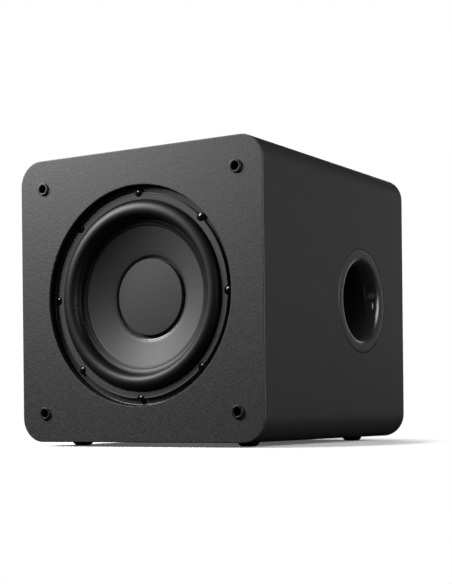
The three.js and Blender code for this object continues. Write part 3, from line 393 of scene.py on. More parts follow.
# %% Rubber parts
for name in SOCKETS:
    socket = turned(f"rubber_{name}", rounded([
        (0, 12), (4.2, 12), (4.2, -1.5, 0.5), (4.5, -2, 0.3), (6.0, -2, 0.4), (6.4, -1.4, 0.5),
        (6.4, -0.05), (5.2, -0.05), (5.2, 14), (0, 14)]), front_place(name), around=64)
    stands_for(socket, "cabinet", name)

for name in (f"foot_{i}" for i in (1, 2, 3, 4)):
    foot = turned(f"rubber_{name}", rounded([
        (0, 0), (7.0, 0, 0.8), (9.4, 1.6, 1.2), (10.5, 3.2, 1.2), (10.5, 4.3), (3.0, 4.3),
        (3.0, 14.5), (0, 14.5)]),
        Vector((middle(name).x, middle(name).y, 0)), axis="z", around=64)
    stands_for(foot, "cabinet", name)

# %% [markdown]
# ## The port
# Air rushes through the port, so its mouth opens like a trumpet. The curve is a quarter of an
# ellipse: level where it leaves the flat ring, and parallel to the tube where it meets it.

# %% Port
THROAT = 34.0
MOUTH = 46.5  # where the flat ring starts to turn inwards
INNER_MOUTH = 43.0
SLEEVE = 45.5  # the outside of the part that passes through the wall
FLARE = 26.0
PORT_RING = half_size("port_flare")[2]
NECK = 45.0
SPIGOT, SPIGOT_START = 36, 29  # the part that the duct slides over
DUCT_OUTSIDE = 38.8
FIT = 0.3  # the air between the duct and its two ends
PORT_LENGTH = (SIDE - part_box("port_inner_flare")[0].x) / MM


def flare_curve(mouth, start, end, steps=20):
    """Points from the mouth to the throat: the radius falls as a sine from mouth to throat,
    while the distance grows as one minus a cosine from start to end."""
    turn = np.linspace(0, np.pi / 2, steps)
    radius = mouth - (mouth - THROAT) * np.sin(turn)
    return np.stack([radius, start + (end - start) * (1 - np.cos(turn))], axis=1)


flare = turned("port_mouth", np.concatenate([
    [(PORT_RING, 0.9), (PORT_RING - 0.25, 0.3), (PORT_RING - 0.8, 0)],
    [(PORT_RING - 4, 0), (MOUTH + 3, 0), (MOUTH + 1, 0)],
    flare_curve(MOUTH, 0, FLARE),
    [(THROAT, NECK), (SPIGOT, NECK), (SPIGOT, SPIGOT_START), (DUCT_OUTSIDE, SPIGOT_START)],
    [(DUCT_OUTSIDE, FLARE), (SLEEVE, WALL), (SLEEVE, 4), (PORT_RING, 4)],
]), PORT, axis="x", around=192)
stands_for(flare, "cabinet", "port_flare")

duct_start, duct_end = SPIGOT_START + FIT, PORT_LENGTH - SPIGOT_START - FIT
tube = turned("port_duct", rounded([
    (SPIGOT + FIT, duct_start, 0.4), (SPIGOT + FIT, duct_end, 0.4),
    (DUCT_OUTSIDE, duct_end, 0.4), (DUCT_OUTSIDE, duct_start, 0.4)]), PORT, axis="x")
stands_for(tube, "cabinet", "port_tube")

inner_flare = turned("port_inner_mouth", np.concatenate([
    [(SPIGOT, PORT_LENGTH - SPIGOT_START), (SPIGOT, PORT_LENGTH - NECK), (THROAT, PORT_LENGTH - NECK)],
    flare_curve(INNER_MOUTH, PORT_LENGTH, PORT_LENGTH - FLARE)[::-1],
    [(44.4, PORT_LENGTH - 0.2), (45, PORT_LENGTH - 1)],
    [(DUCT_OUTSIDE, PORT_LENGTH - 13), (DUCT_OUTSIDE, PORT_LENGTH - SPIGOT_START)],
]), PORT, axis="x")
stands_for(inner_flare, "cabinet", "port_inner_flare")

# %% [markdown]
# ## The driver's fixed parts
# A pressed steel basket holds the driver in the recess, and a scalloped trim ring hides the
# edge of the rubber. The basket is a turned cup with windows cut through it, as the real one
# is punched. The trim ring is stepped: its outer band lies a little lower.

# %% Basket and trim ring
BOLTS = [f"driver_screw_{i}" for i in range(1, 9)]
bolt_places = [front_place(name) for name in BOLTS]
FRAME_TOP = 9.3
basket = turned("driver_frame", rounded([
    (87.5, FRAME_TOP, 0.8), (RECESS - 1.6, FRAME_TOP, 0.6), (RECESS - 1.2, FRAME_TOP - 0.7, 0.5),
    (RECESS - 0.6, FRAME_TOP - 0.5, 0.6), (RECESS - 0.6, 13.3, 0.8), (93.2, 13.3, 1.0), (90.5, 27, 3),
    (68.4, 44, 3), (68.4, 53, 1.5), (62, 53, 1), (62, 65.7, 2.5), (30.6, 65.7, 0.6), (30.6, 62, 0.6),
    (59, 62, 2), (57.4, 50, 1), (66.4, 50, 1), (66.4, 44, 2), (87.5, 27, 3)]), DRIVER)

WINDOWS = 6
basket_window = outline(width=75, height=66, radius=8, side_steps=4, corner_steps=5) + [85, 0]
for turn in (np.arange(WINDOWS) + 0.5) * 2 * np.pi / WINDOWS:
    swing = np.array([[math.cos(turn), math.sin(turn)], [-math.sin(turn), math.cos(turn)]])
    cut(basket, [prism("window_cutter", basket_window @ swing, 28, 43.5, DRIVER, "frame_paint")])
stands_for(basket, "cabinet", "driver_basket")

SCALLOP = 4.6
trim = turned("trim_ring", rounded([
    (95, 6.7, 0.5), (100.7, 6.6, 0.3), (100.9, 6.3, 0.2), (101.9, 6.35, 0.4), (102, 9.0), (97.7, 9.0),
    (97.7, 7.6), (95, 7.6)]), DRIVER, around=240)
cut(trim, [cylinder(SCALLOP, 5, 10, place, around=40) for place in bolt_places])
stands_for(trim, "cabinet", "trim_gasket")

# %% [markdown]
# ## The screws
# Each pan-head screw has a domed head with a cross cut into it. The dome is half an ellipse
# turned on the lathe, and the cross is two tapered wedges taken away by a boolean.

# %% Screws
def screw(name, place, head_radius, head_height, shank_radius, length, direction):
    """A pan-head screw under its seat at place. The head's height falls from the middle to
    the rim as the square root of one minus the radius squared. direction is 1 where the head
    faces backwards and -1 where it faces forwards."""
    turn = np.linspace(0, np.pi / 2, 9)
    dome = np.stack([head_radius * np.sin(turn), head_height * (0.45 + 0.55 * np.cos(turn))], axis=1)
    shank = [(head_radius, 0), (shank_radius, 0), (shank_radius, 4 - length), (0, -length)]
    profile = np.concatenate([dome, shank]) * [1, direction]
    body = turned(name, profile, place, around=40, sharp_degrees=30)
    arm = outline(head_radius * 1.3, head_radius * 0.32, 0.1, side_steps=1, corner_steps=2)
    for section in (arm, arm[:, ::-1] * [1, -1]):
        point = section * 0.3
        deep, proud = direction * head_height * 0.25, direction * (head_height + 0.3)
        cut(body, [banded("cross", [(point * 0, deep), (point, deep), (section, proud), (section * 0, proud)],
                          place)], 30)
    return body


for name, place in zip(BOLTS, bolt_places):
    seat = place + Vector((0, (FRAME_TOP - 0.3) * MM, 0))
    bolt = screw(f"black_{name}", seat, head_radius=4.0, head_height=2.6, shank_radius=2.0, length=16,
                 direction=-1)
    stands_for(bolt, "cabinet", name)

# %% [markdown]
# ## The cone and what moves with it
# The surround is a half roll of rubber: its section is half an ellipse on a sloping base. It
# is fixed to the frame outside and to the cone inside, so between them it has to follow both.
# The cone is nearly straight, with a rounded inner edge that drops into a dark groove round
# the flat dust cap.

# %% Surround
ROLL_OUT, ROLL_IN = 94.0, 77.5
ROLL_CREST = 1.0
ROLL_BASE_OUT, ROLL_BASE_IN = 7.8, 10.6
LIP_EDGE = 70.5


def roll(thickness, steps=28):
    """The half roll from its inner to its outer foot. The radius follows a cosine, and the
    height over the base line follows a sine raised to 0.85, which fills the shoulders."""
    turn = np.linspace(0, np.pi, steps)
    share = (1 - np.cos(turn)) / 2
    base = ROLL_BASE_IN + (ROLL_BASE_OUT - ROLL_BASE_IN) * share
    half = (ROLL_OUT - ROLL_IN) / 2 - thickness
    radius = (ROLL_OUT + ROLL_IN) / 2 - half * np.cos(turn)
    return np.stack([radius, base + thickness - (base - ROLL_CREST) * np.sin(turn) ** 0.85], axis=1)


surround_profile = np.concatenate([
    [(LIP_EDGE, 12.4), (LIP_EDGE + 0.2, 12.05), (LIP_EDGE + 0.6, 11.95), (72.6, 11.6)],
    [(72.8, 11.8), (73.1, 11.5), (76.6, 10.85)],
    roll(0)[1:-1],
    [(94.4, 7.8), (97.4, 7.8), (97.4, 8.95)],
    roll(1.1)[::-1],
    [(76, 12.1), (LIP_EDGE, 13.0)],
])
surround = turned("half_roll", surround_profile, DRIVER, around=216, sharp_degrees=50)

# %% [markdown]
# A surround bends from its rim to its middle. Here its transform is baked into its mesh
# and its points are read relative to the driver's axis; no weight is set.

# %% Points by radius
def bend_by_radius(piece):
    """Bakes the piece's transform into its mesh and reads its points relative to the driver's axis."""
    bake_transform(piece)
    points = np.empty(len(piece.data.vertices) * 3)
    piece.data.vertices.foreach_get("co", points)
    points = points.reshape(-1, 3) - np.array(DRIVER)


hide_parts("surround")
bend_by_radius(surround)
print("surround:", len(surround.data.polygons), "faces")

# %% Cone and dust cap
GROOVE = 41.4
CONE_RIM = 76.5
CONE_LIP = 1.7  # the radius of the rounded inner edge
cone_line = np.linspace(0, 1, 14)[:, None]
lip_turn = np.radians(np.linspace(24, 90, 7))
cone_lip = np.stack([GROOVE + CONE_LIP * (1 - np.sin(lip_turn)), 26.2 - CONE_LIP * np.cos(lip_turn)], axis=1)
cone_front = (1 - cone_line) * [LIP_EDGE - 0.2, 13.2] + cone_line * [GROOVE + CONE_LIP, 24.6]
cone_front[:, 1] += 0.5 * np.sin(np.pi * cone_line[:, 0])
cone = turned("cone", np.concatenate([
    [(CONE_RIM, 12.2)],
    cone_front,
    cone_lip,
    [(GROOVE - 0.2, 27.0), (GROOVE - 0.5, 27.6), (GROOVE - 1.2, 28.0)],
    [(37, 28.4), (25.9, 32.1), (25.9, 33.0), (37, 29.3), (GROOVE - 0.6, 28.8), (GROOVE + 1.7, 26.9)],
    cone_front[::-1] + [0, 0.9],
    [(CONE_RIM, 13.1)],
]), DRIVER, around=216, sharp_degrees=50)
stands_for(cone, "moving_cone", "cone")

CAP = half_size("dust_cap")[0]
cap = turned("dust_cap_disc", rounded([
    (0, 24.1), (CAP, 24.1, 0.7), (CAP, 27.9), (CAP - 1.2, 27.9), (CAP - 1.2, 25.3, 0.4), (0, 25.3)], steps=6),
    DRIVER, around=216)
stands_for(cap, "moving_cone", "dust_cap")

# %% [markdown]
# ## Inside the driver
# The spider centres the coil. It is a disc of stiffened cloth pressed into waves, so its
# section is a cosine. Coil, former, plates and magnet are
# turned metal, film and wire, and nobody sees them until the driver is out of the box.

# %% Motor
FORMER = 25.6
wave_at = np.linspace(FORMER + 2.5, 58, 61)
wave = 48.5 - 1.4 * (1 - np.cos((wave_at - wave_at[0]) / (wave_at[-1] - wave_at[0]) * 10 * np.pi))
spider = turned("cloth_spider", np.concatenate([
    [(FORMER + 0.3, 48.5)], np.stack([wave_at, wave], axis=1), [(65.4, 48.5), (65.4, 49.4)],
    np.stack([wave_at, wave + 0.9], axis=1)[::-1], [(FORMER + 0.3, 49.4)],
]), DRIVER, sharp_degrees=60)
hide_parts("spider")
bend_by_radius(spider)

MOTOR = {
    "voice_coil_former": ("moving_cone", "former_film", [(25, 30), (25.6, 30), (25.6, 82), (25, 82)], 0.1),
    "voice_coil": ("moving_cone", "coil_copper", [(25.9, 60), (26.9, 60), (26.9, 80), (25.9, 80)], 0.3),
    "top_plate": ("cabinet", "plated_steel", [(27.6, 66), (50, 66), (50, 74), (27.6, 74)], 0.5),
    "magnet_ring": ("cabinet", "ferrite", [(34, 74.3), (60, 74.3), (60, 96.3), (34, 96.3)], 1.6),
    "pole_piece": ("cabinet", "plated_steel",
                   [(8, 66), (24.4, 66), (24.4, 96.6), (52, 96.6), (52, 104.6), (8, 104.6)], 0.8),
}
for name, (body, slot, corners, softness) in MOTOR.items():
    profile = rounded([(*corner, softness) for corner in corners])
    stands_for(turned(f"turned_{name}", profile, DRIVER, around=96), body, name)

# %% [markdown]
# ## The amplifier plate
# A powder-coated steel plate closes the back and carries all controls. It is a slab with
# rounded corners and softly broken edges, with a hole for everything that passes through it.
# The screws are the driver's pan heads in a smaller size.

# %% Plate and screws
def back_place(node):
    """The point on the plate's outer face in line with the middle of a CAD node."""
    return Vector((middle(node).x, PLATE_BACK, middle(node).z))


def bar_ring(width, height, radius=0.4, corner_steps=5, side_steps=2):
    """The outline of a small part with round corners."""
    return outline(width, height, radius, side_steps, corner_steps)


PLATE = 2 * half_size("amp_plate")[1]
KNOBS = {"volume_knob": "volume_control", "crossover_knob": "crossover_control"}
LEVERS = {"phase_lever": ("phase_slider", 0, 4), "mode_lever": ("mode_slider", -3, 3)}
AMP_SCREWS = [f"amp_screw_{i}" for i in range(1, 7)]
JACK_SPREAD = 9.0
SCREW_HOLE, SHAFT_HOLE, JACK_HOLE = 2.0, 4.9, 4.5
LEVER_SLOT = 3.4
jack_places = [back_place("line_jacks") + Vector((side * JACK_SPREAD * MM, 0, 0)) for side in (-1, 1)]

plate = prism("control_plate", outline(AMP_WIDTH, AMP_HEIGHT, AMP_CORNER), -PLATE, 0,
              back_place("amp_plate"), "amp_paint", soft=0.5)


def drill(place, radius):
    """A cutter right through the plate."""
    return cylinder(radius, -PLATE - 1, 1, place)


def punch(place, ring):
    """A cutter of any outline right through the plate."""
    return prism("punch", ring, -PLATE - 1, 1, place, "amp_paint")


def lever_slot(node):
    """The slot that a lever slides in: its travel, its width and a little air."""
    body, reach_low, reach_high = LEVERS[node]
    ring = bar_ring(LEVER_SLOT + reach_high - reach_low, LEVER_SLOT, 0.6) + [(reach_low + reach_high) / 2, 0]
    return punch(back_place(node), ring)


cut(plate, [
    *[drill(back_place(name), SCREW_HOLE) for name in AMP_SCREWS],
    *[drill(back_place(name), SHAFT_HOLE) for name in KNOBS],
    *[drill(place, JACK_HOLE) for place in jack_places],
    *[lever_slot(name) for name in LEVERS],
    punch(back_place("power_inlet"), bar_ring(28, 20.4, 1)),
    punch(back_place("power_switch"), bar_ring(12.4, 18.4, 0.5)),
])
stands_for(plate, "cabinet", "amp_plate")

for name in AMP_SCREWS:
    seat = back_place(name) + Vector((0, 0.3 * MM, 0))
    bolt = screw(f"black_{name}", seat, head_radius=3.6, head_height=2.2, shank_radius=1.7, length=14,
                 direction=1)
    stands_for(bolt, "cabinet", name)

# %% [markdown]
# ## Knobs, levers and scales
# A knob is gripped by its fluted side, so its lathe shape is rippled between the skirt and the
# face. A printed scale of short strokes stands round each knob; it is made as slivers of ink,
# a tenth of a millimetre thick.

# %% Controls
FLUTES = (30, 0.5, 3.6, 14.5)  # their count, how deep they are, and where they start and end
for name, body in KNOBS.items():
    knob = turned(f"fluted_{name}", rounded([
        (0, 11.3), (3.3, 11.3), (3.3, 1), (9, 1, 0.3), (9, 2.4, 0.4), (8.3, 3.2, 0.4), (8.1, 4.5),
        (8.0, 9), (7.9, 13.8), (7.6, 15.2, 0.4), (6.9, 16, 0.6), (5.6, 16, 0.5), (5.2, 15.5, 0.5),
        (0, 15.5)]), back_place(name), around=240, flutes=FLUTES)
    stands_for(knob, body, name)
    pointer = prism(f"pointer_{name}", bar_ring(1.0, 6.0, 0.3) + [0, 4.6], 15.2, 16.4, back_place(name),
                    "control_plastic", soft=0.2)
    stands_for(pointer, body)

SCALE_MARKS = 11
SCALE_SWEEP = math.radians(300)
SCALE_RADIUS = 12.2
stroke = prism("stroke", bar_ring(0.5, 2.4, 0.2), 0.0, 0.1, Vector(), "amp_paint")
outwards = Matrix.Translation((0, 0, SCALE_RADIUS * MM))
scale = bmesh.new()
for name in KNOBS:
    for share in np.linspace(-0.5, 0.5, SCALE_MARKS):
        turn = Matrix.Rotation(share * SCALE_SWEEP, 4, "Y")
        mark = stroke.data.copy()
        mark.transform(Matrix.Translation(back_place(name)) @ turn @ outwards)
        scale.from_mesh(mark)
bpy.data.objects.remove(stroke)
scales = add_object("printed_scales", bpy.data.meshes.new("printed_scales"))
scale.to_mesh(scales.data)
scale.free()
stands_for(scales, "cabinet")

for name, (body, *_) in LEVERS.items():
    low, high = ((corner.y - PLATE_BACK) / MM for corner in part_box(name))
    lever = prism(f"ribbed_{name}", bar_ring(2.6, 2.6, 0.5), low, high, back_place(name),
                  "control_plastic", soft=0.5)
    stands_for(lever, body, name)

# %% [markdown]
# ## Sockets and mains
# The line sockets are turned barrels with a coloured insulator. The mains inlet has a deep
# cavity with two lower corners cut off, so that a plug fits one way only, and three blades.
# The rocker's face sags between its two ends.

# %% Line sockets
jack_block = prism("jack_block", bar_ring(36, 14, 1), -12.3, -3.3, back_place("line_jacks"),
                   "jack_metal", soft=0.5)
stands_for(jack_block, "cabinet", "line_jacks")
for place, colour in zip(jack_places, ("white", "red")):
    barrel = turned(f"jack_barrel_{colour}", rounded([
        (3.3, 2), (3.3, 9, 0.2), (4.2, 9, 0.3), (4.2, 3.2, 0.3), (3.9, 2.8, 0.2), (4.2, 2.4, 0.2),
        (6.4, 2.2, 0.4), (6.4, 0.1, 0.3), (4.2, 0.1), (4.2, -3.2), (3.3, -3.2)]),
        place, around=72)
    insulator = turned(f"jack_insulator_{colour}", rounded([
        (1.6, -2), (1.6, 8.4, 0.2), (3.2, 8.4, 0.4), (3.2, -2)]), place, around=72)
    for piece in (barrel, insulator):
        stands_for(piece, "cabinet")

# %% Mains inlet and power switch
def moulding(name, place, rim, body, hollow):
    """A housing from three bars, each given as (outline, from, to): a rim with soft edges, joined
    with a body behind the plate, less a hollow."""
    shell = prism(name, *rim, place, "control_plastic", soft=0.5)
    cut(shell, [prism("body", *body, place, "control_plastic")], operation="UNION")
    return cut(shell, [prism("hollow", *hollow, place, "control_plastic")])


INLET, SWITCH = back_place("power_inlet"), back_place("power_switch")
keyed = np.array([(12.1, 8.3), (-12.1, 8.3), (-12.1, -4), (-8, -8.3), (8, -8.3), (12.1, -4)])
inlet = moulding("inlet_housing", INLET, (bar_ring(31, 24, 2.5), 0.3, 2.7),
                 (bar_ring(27.4, 19.8, 1), -19.3, 2.6), (keyed, -13.3, 4))
stands_for(inlet, "cabinet", "power_inlet")
PIN_PITCH, PIN_RISE, PIN_TIP = 7.0, 2.0, -0.6
for place in (-1, 0, 1):
    ring = bar_ring(2, 4, 0.5) + [place * PIN_PITCH, -PIN_RISE if place else PIN_RISE]
    blade = prism(f"inlet_blade_{place + 2}", ring, -14, PIN_TIP, INLET, "jack_metal", soft=0.6)
    stands_for(blade, "cabinet")

bezel = moulding("switch_bezel", SWITCH, (bar_ring(15, 21, 1.2), 0.3, 2.3),
                 (bar_ring(11.8, 17.8, 0.5), -13.7, 2.2), (bar_ring(9.8, 16.6, 0.3), -7.7, 3.5))
stands_for(bezel, "cabinet", "power_switch")

ROCKER_PIVOT, ROCKER_HALF, ROCKER_TILT = -1.7, 7.2, math.radians(8)
along = np.linspace(ROCKER_HALF, -ROCKER_HALF, 25)
face = np.stack([3.4 + 1.8 * np.abs(along / ROCKER_HALF) ** 1.6, along], axis=1)
side_view = np.concatenate([face, [(-1.5, -ROCKER_HALF), (-1.5, ROCKER_HALF)]])
lean = np.array([[math.cos(ROCKER_TILT), -math.sin(ROCKER_TILT)],
                 [math.sin(ROCKER_TILT), math.cos(ROCKER_TILT)]])
ROCKER_WIDTH = 2 * half_size("power_rocker")[0]
rocker = prism("switch_rocker", side_view @ lean, -ROCKER_WIDTH / 2, ROCKER_WIDTH / 2,
               SWITCH + Vector((0, ROCKER_PIVOT * MM, 0)), "rocker_plastic", axis="x", soft=0.4)
stands_for(rocker, "rocker", "power_rocker")

# %% [markdown]
# ## Behind the plate
# The brace, the seals and the capacitors get the same treatment: an outline carried through a
# profile, or a profile turned. The other inner parts keep their CAD shape and get a finish.

# %% Inner pieces
def depths(node):
    """Where a CAD node starts and ends behind the front face, in millimetres."""
    return tuple((corner.y - FRONT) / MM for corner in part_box(node))


def sheet_ring(name, node, outer_ring, inner_ring, soft):
    """A flat frame between two outlines, with its edges broken by a softness."""
    start, end = depths(node)
    shapes = [(outer_ring, start + soft), (outer_ring, end - soft), (outer_ring * (1 - soft / 100), end),
              (inner_ring * (1 + soft / 100), end), (inner_ring, end - soft), (inner_ring, start + soft),
              (inner_ring * (1 + soft / 100), start), (outer_ring * (1 - soft / 100), start)]
    return stands_for(banded(name, shapes, CABINET_AXIS), "cabinet", node)


brace_window = outline(width=192, height=192, radius=30)
brace = sheet_ring("window_brace", "internal_brace", cabinet_ring(PLUG), brace_window,
                   soft=0.6)
amp_foam = sheet_ring("plate_seal", "amp_seal", outline(AMP_WIDTH, AMP_HEIGHT, AMP_CORNER), window,
                      soft=0.2)
start, end = depths("driver_seal")
driver_foam = turned("frame_seal", rounded([
    (DRIVER_HOLE, start, 0.3), (108.6, start, 0.3), (108.6, end, 0.3), (DRIVER_HOLE, end, 0.3),
]), DRIVER)
cut(driver_foam, [cylinder(2.3, start - 1, end + 1, place, around=24) for place in bolt_places])
stands_for(driver_foam, "cabinet", "driver_seal")

for name in ("filter_capacitor_1", "filter_capacitor_2"):
    start, end = depths(name)
    can = turned(f"sleeved_{name}", rounded([
        (0, start + 0.6), (8.6, start + 0.6, 0.3), (9.2, start, 0.4), (11, start, 0.8), (11, end - 4, 0.5),
        (10.2, end - 3, 0.5), (11, end - 2, 0.5), (11, end, 0.3), (0, end)]),
        front_place(name), around=72)
    stands_for(can, "cabinet", name)

# %% [markdown]
# ## Nets of nodes
# A finish, the room and the floor are all nets of shader nodes. Every node takes two steps: set
# what is fixed, and link what comes from another node. One helper does both, which keeps the
# nets below short.

# %% Nodes
def feed(node, inputs):
    """Sets a node's inputs by name or number. Where a value is a socket, it is linked instead."""
    for label, value in inputs.items():
        if isinstance(value, bpy.types.NodeSocket):
            node.id_data.links.new(value, node.inputs[label])
        else:
            node.inputs[label].default_value = value


def add_node(tree, kind, inputs=None, **settings):
    """A node of a kind, with its properties and inputs set."""
    node = tree.nodes.new(kind)
    for label, value in settings.items():
        setattr(node, label, value)
    feed(node, inputs or {})
    return node

# %% [markdown]
# ## Light and floor
# A large soft lamp up to the left of the front does most of the work: it draws the gradient
# over the front board and the bright line on the roll. A weaker one at the right lights the
# side and one behind lights the controls. Three small ones are there for the port alone: two
# narrow ones draw the crescents on its rim, and a flat one on the floor shines into it, as a
# pale table would. The room is white to the camera but dim in reflections, so the black box
# stays black.

# %% Light, surroundings and floor
def lamp(name, place, target, width, height, power):
    """A rectangular area lamp at place that faces target and isn't seen itself."""
    data = bpy.data.lights.new(name, "AREA")
    data.shape = "RECTANGLE"
    data.size, data.size_y = width, height
    data.energy = power
    thing = add_object(name, data)
    thing.location = place
    thing.rotation_euler = (Vector(target) - Vector(place)).to_track_quat("-Z", "Y").to_euler()
    thing.visible_camera = False


lamp("key", (-0.66, -0.66, 0.74), CENTRE, 0.5, 0.5, 16)
lamp("side", (1.8, 0.0, 0.6), CENTRE, 0.9, 0.9, 26.5)
lamp("strip", (1.05, -1.12, 0.42), PORT, 0.1, 0.4, 1.0)
lamp("table", (0.5, -0.38, 0.01), (0.5, -0.38, 1.0), 0.5, 0.4, 0.2)
lamp("rim", (0.33, 1.6, 0.35), PORT, 0.1, 0.8, 1.6)
lamp("back", (-0.7, 1.6, 0.5), CENTRE, 0.9, 0.6, 30)

ROOM_LIGHT = 0.05  # what the white room gives back, apart from the lamps
world = bpy.data.worlds.new("white room")
bpy.context.scene.world = world
world.use_nodes = True
tree = world.node_tree
tree.nodes.clear()
seen = add_node(tree, "ShaderNodeLightPath").outputs["Is Camera Ray"]
dim, bright = (add_node(tree, "ShaderNodeBackground", {"Strength": strength, "Color": (1, 1, 1, 1)})
               for strength in (ROOM_LIGHT, 1.0))
choose = add_node(tree, "ShaderNodeMixShader", {0: seen, 1: dim.outputs[0], 2: bright.outputs[0]})
add_node(tree, "ShaderNodeOutputWorld", {"Surface": choose.outputs[0]})
bpy.context.scene.view_settings.view_transform = "Standard"

FLOOR_HALF = 6.0
floor_corners = [(x * FLOOR_HALF, y * FLOOR_HALF, 0) for x, y in ((-1, -1), (1, -1), (1, 1), (-1, 1))]
floor = add_object("floor", bpy.data.meshes.new("floor"))
floor.data.from_pydata(floor_corners, [], [(0, 1, 2, 3)])

# %% [markdown]
# ## Shared effects
# Two effects are in nearly every finish. Grain is a fine noise that shifts colour and gloss a
# little and tilts the surface. Wear rubs convex edges and lays a breath of dust on faces that
# look up. Each is a node group, built once, with its settings as named inputs.

# %% Node groups
def group(name, inputs, outputs):
    """An empty shader node group with named sockets. inputs maps names to default values."""
    tree = bpy.data.node_groups.new(name, "ShaderNodeTree")
    for label, value in inputs.items():
        socket = tree.interface.new_socket(label, in_out="INPUT", socket_type="NodeSocketFloat")
        socket.default_value = value
    for label, kind in outputs.items():
        tree.interface.new_socket(label, in_out="OUTPUT", socket_type=kind)
    return tree, tree.nodes.new("NodeGroupInput"), tree.nodes.new("NodeGroupOutput")


def calculate(tree, operation, *values, **settings):
    """The result of a Math node on sockets and numbers."""
    inputs = dict(enumerate(values))
    return add_node(tree, "ShaderNodeMath", inputs, operation=operation, **settings).outputs[0]


def vector_math(tree, operation, *values):
    """A Vector Math node on sockets and vectors."""
    return add_node(tree, "ShaderNodeVectorMath", dict(enumerate(values)), operation=operation)


def object_place(tree):
    """The Object coordinate: where a point of the piece lies, in metres."""
    return add_node(tree, "ShaderNodeTexCoord").outputs["Object"]


grain, given, result = group("grain", {"Scale": 900.0, "Depth": 0.1, "Stretch": 1.0},
                             {"Mask": "NodeSocketFloat", "Normal": "NodeSocketVector"})
pull = add_node(grain, "ShaderNodeCombineXYZ", {"X": 1.0, "Y": 1.0, "Z": given.outputs["Stretch"]})
stretch = vector_math(grain, "MULTIPLY", object_place(grain), pull.outputs[0])
spread = {"Vector": stretch.outputs[0], "Scale": given.outputs["Scale"]}
fine = add_node(grain, "ShaderNodeTexNoise", {**spread, "Detail": 3.0}).outputs["Fac"]
cells = add_node(grain, "ShaderNodeTexVoronoi", spread).outputs["Distance"]
height = calculate(grain, "MULTIPLY_ADD", cells, 0.15, fine)
bump = add_node(grain, "ShaderNodeBump", {
    "Height": height, "Strength": given.outputs["Depth"], "Distance": 0.0003})
feed(result, {"Mask": fine, "Normal": bump.outputs[0]})

wear, given, result = group("wear", {"Edge": 0.3, "Dust": 0.1},
                            {"Edge": "NodeSocketFloat", "Dust": "NodeSocketFloat"})
shape = add_node(wear, "ShaderNodeNewGeometry")
convex = add_node(wear, "ShaderNodeMapRange", {
    "Value": shape.outputs["Pointiness"], "From Min": 0.52, "From Max": 0.62})
patchy = add_node(wear, "ShaderNodeTexNoise", {
    "Vector": object_place(wear), "Scale": 35.0, "Detail": 5.0}).outputs["Fac"]
facing = add_node(wear, "ShaderNodeSeparateXYZ", {0: shape.outputs["Normal"]})
above = calculate(wear, "MAXIMUM", facing.outputs["Z"], 0.0)
upward = calculate(wear, "POWER", above, 4.0, use_clamp=True)
for label, amount in (("Edge", convex.outputs[0]), ("Dust", upward)):
    in_patches = calculate(wear, "MULTIPLY", amount, patchy)
    feed(result, {label: calculate(wear, "MULTIPLY", in_patches, given.outputs[label])})
print("groups:", [tree.name for tree in bpy.data.node_groups])

# %% [markdown]
# ## One builder for the finishes
# Each finish is a Principled BSDF whose colour runs between a dark and a light shade with the
# grain, lightens on rubbed edges and under dust, and whose gloss varies the same way. What is
# the same all over, such as metallic or specular level, is set on the shader itself.

# %% Finish builder
DUST_SHADE = (0.35, 0.34, 0.33)


def mix_colour(tree, amount, first, second):
    """A mixed colour: amount is a socket or a number, the colours are sockets or RGB."""
    first, second = (shade if isinstance(shade, bpy.types.NodeSocket) else (*shade, 1.0)
                     for shade in (first, second))
    return add_node(tree, "ShaderNodeMix", {0: amount, 6: first, 7: second}, data_type="RGBA").outputs[2]


def greys(dark, light, blue=0.0005):
    """Two nearly neutral shades, each with a touch more blue."""
    return (dark, dark, dark + blue), (light, light, light + blue)


def finish(name, dark, light, gloss=(0.4, 0.55), scale=900.0, depth=0.1, stretch=1.0, edge=0.25,
           dust=0.06, metallic=0.0, specular=0.5):
    """A material: colour = dark to light by grain, then lighter by wear and dust; roughness =
    gloss[0] to gloss[1] by grain. scale is the grain's frequency per metre. A rubbed edge has
    2.2 times the light shade, plus 0.02."""
    material = bpy.data.materials.new(name)
    material.use_nodes = True
    tree = material.node_tree
    grained = add_node(tree, "ShaderNodeGroup", {"Scale": scale, "Depth": depth, "Stretch": stretch},
                       node_tree=grain)
    worn = add_node(tree, "ShaderNodeGroup", {"Edge": edge, "Dust": dust}, node_tree=wear)
    mask = grained.outputs["Mask"]
    contrast = add_node(tree, "ShaderNodeMapRange", {"Value": mask, "From Min": 0.35, "From Max": 0.65})
    base = mix_colour(tree, contrast.outputs[0], dark, light)
    base = mix_colour(tree, worn.outputs["Edge"], base, [min(1.0, 2.2 * v + 0.02) for v in light])
    rough = add_node(tree, "ShaderNodeMapRange", {"Value": mask, "To Min": gloss[0], "To Max": gloss[1]})
    feed(tree.nodes["Principled BSDF"], {
        "Base Color": mix_colour(tree, worn.outputs["Dust"], base, DUST_SHADE),
        "Roughness": rough.outputs[0],
        "Normal": grained.outputs["Normal"],
        "Metallic": metallic,
        "Specular IOR Level": specular,
    })
    return material


def dress(material, *pieces):
    """Gives pieces the material in their only slot."""
    for piece in pieces:
        piece.data.materials.clear()
        piece.data.materials.append(material)


def named(*prefixes):
    """The new pieces whose names start with one of the prefixes."""
    return [thing for thing in bpy.context.scene.objects
            if thing.type == "MESH" and thing.name.startswith(prefixes) and thing.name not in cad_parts]


# %% [markdown]
# ## The finishes of the front
# Charcoal vinyl has a fine leathery grain. The trim is moulded rubber, the surround smooth
# rubber, the cone coated pulp, and the port polished plastic.

# %% Dress the outside
def fed_input(material, label):
    """A material's node tree, its shader, and the socket that feeds one input of the shader."""
    shader = material.node_tree.nodes["Principled BSDF"]
    return material.node_tree, shader, shader.inputs[label].links[0].from_socket


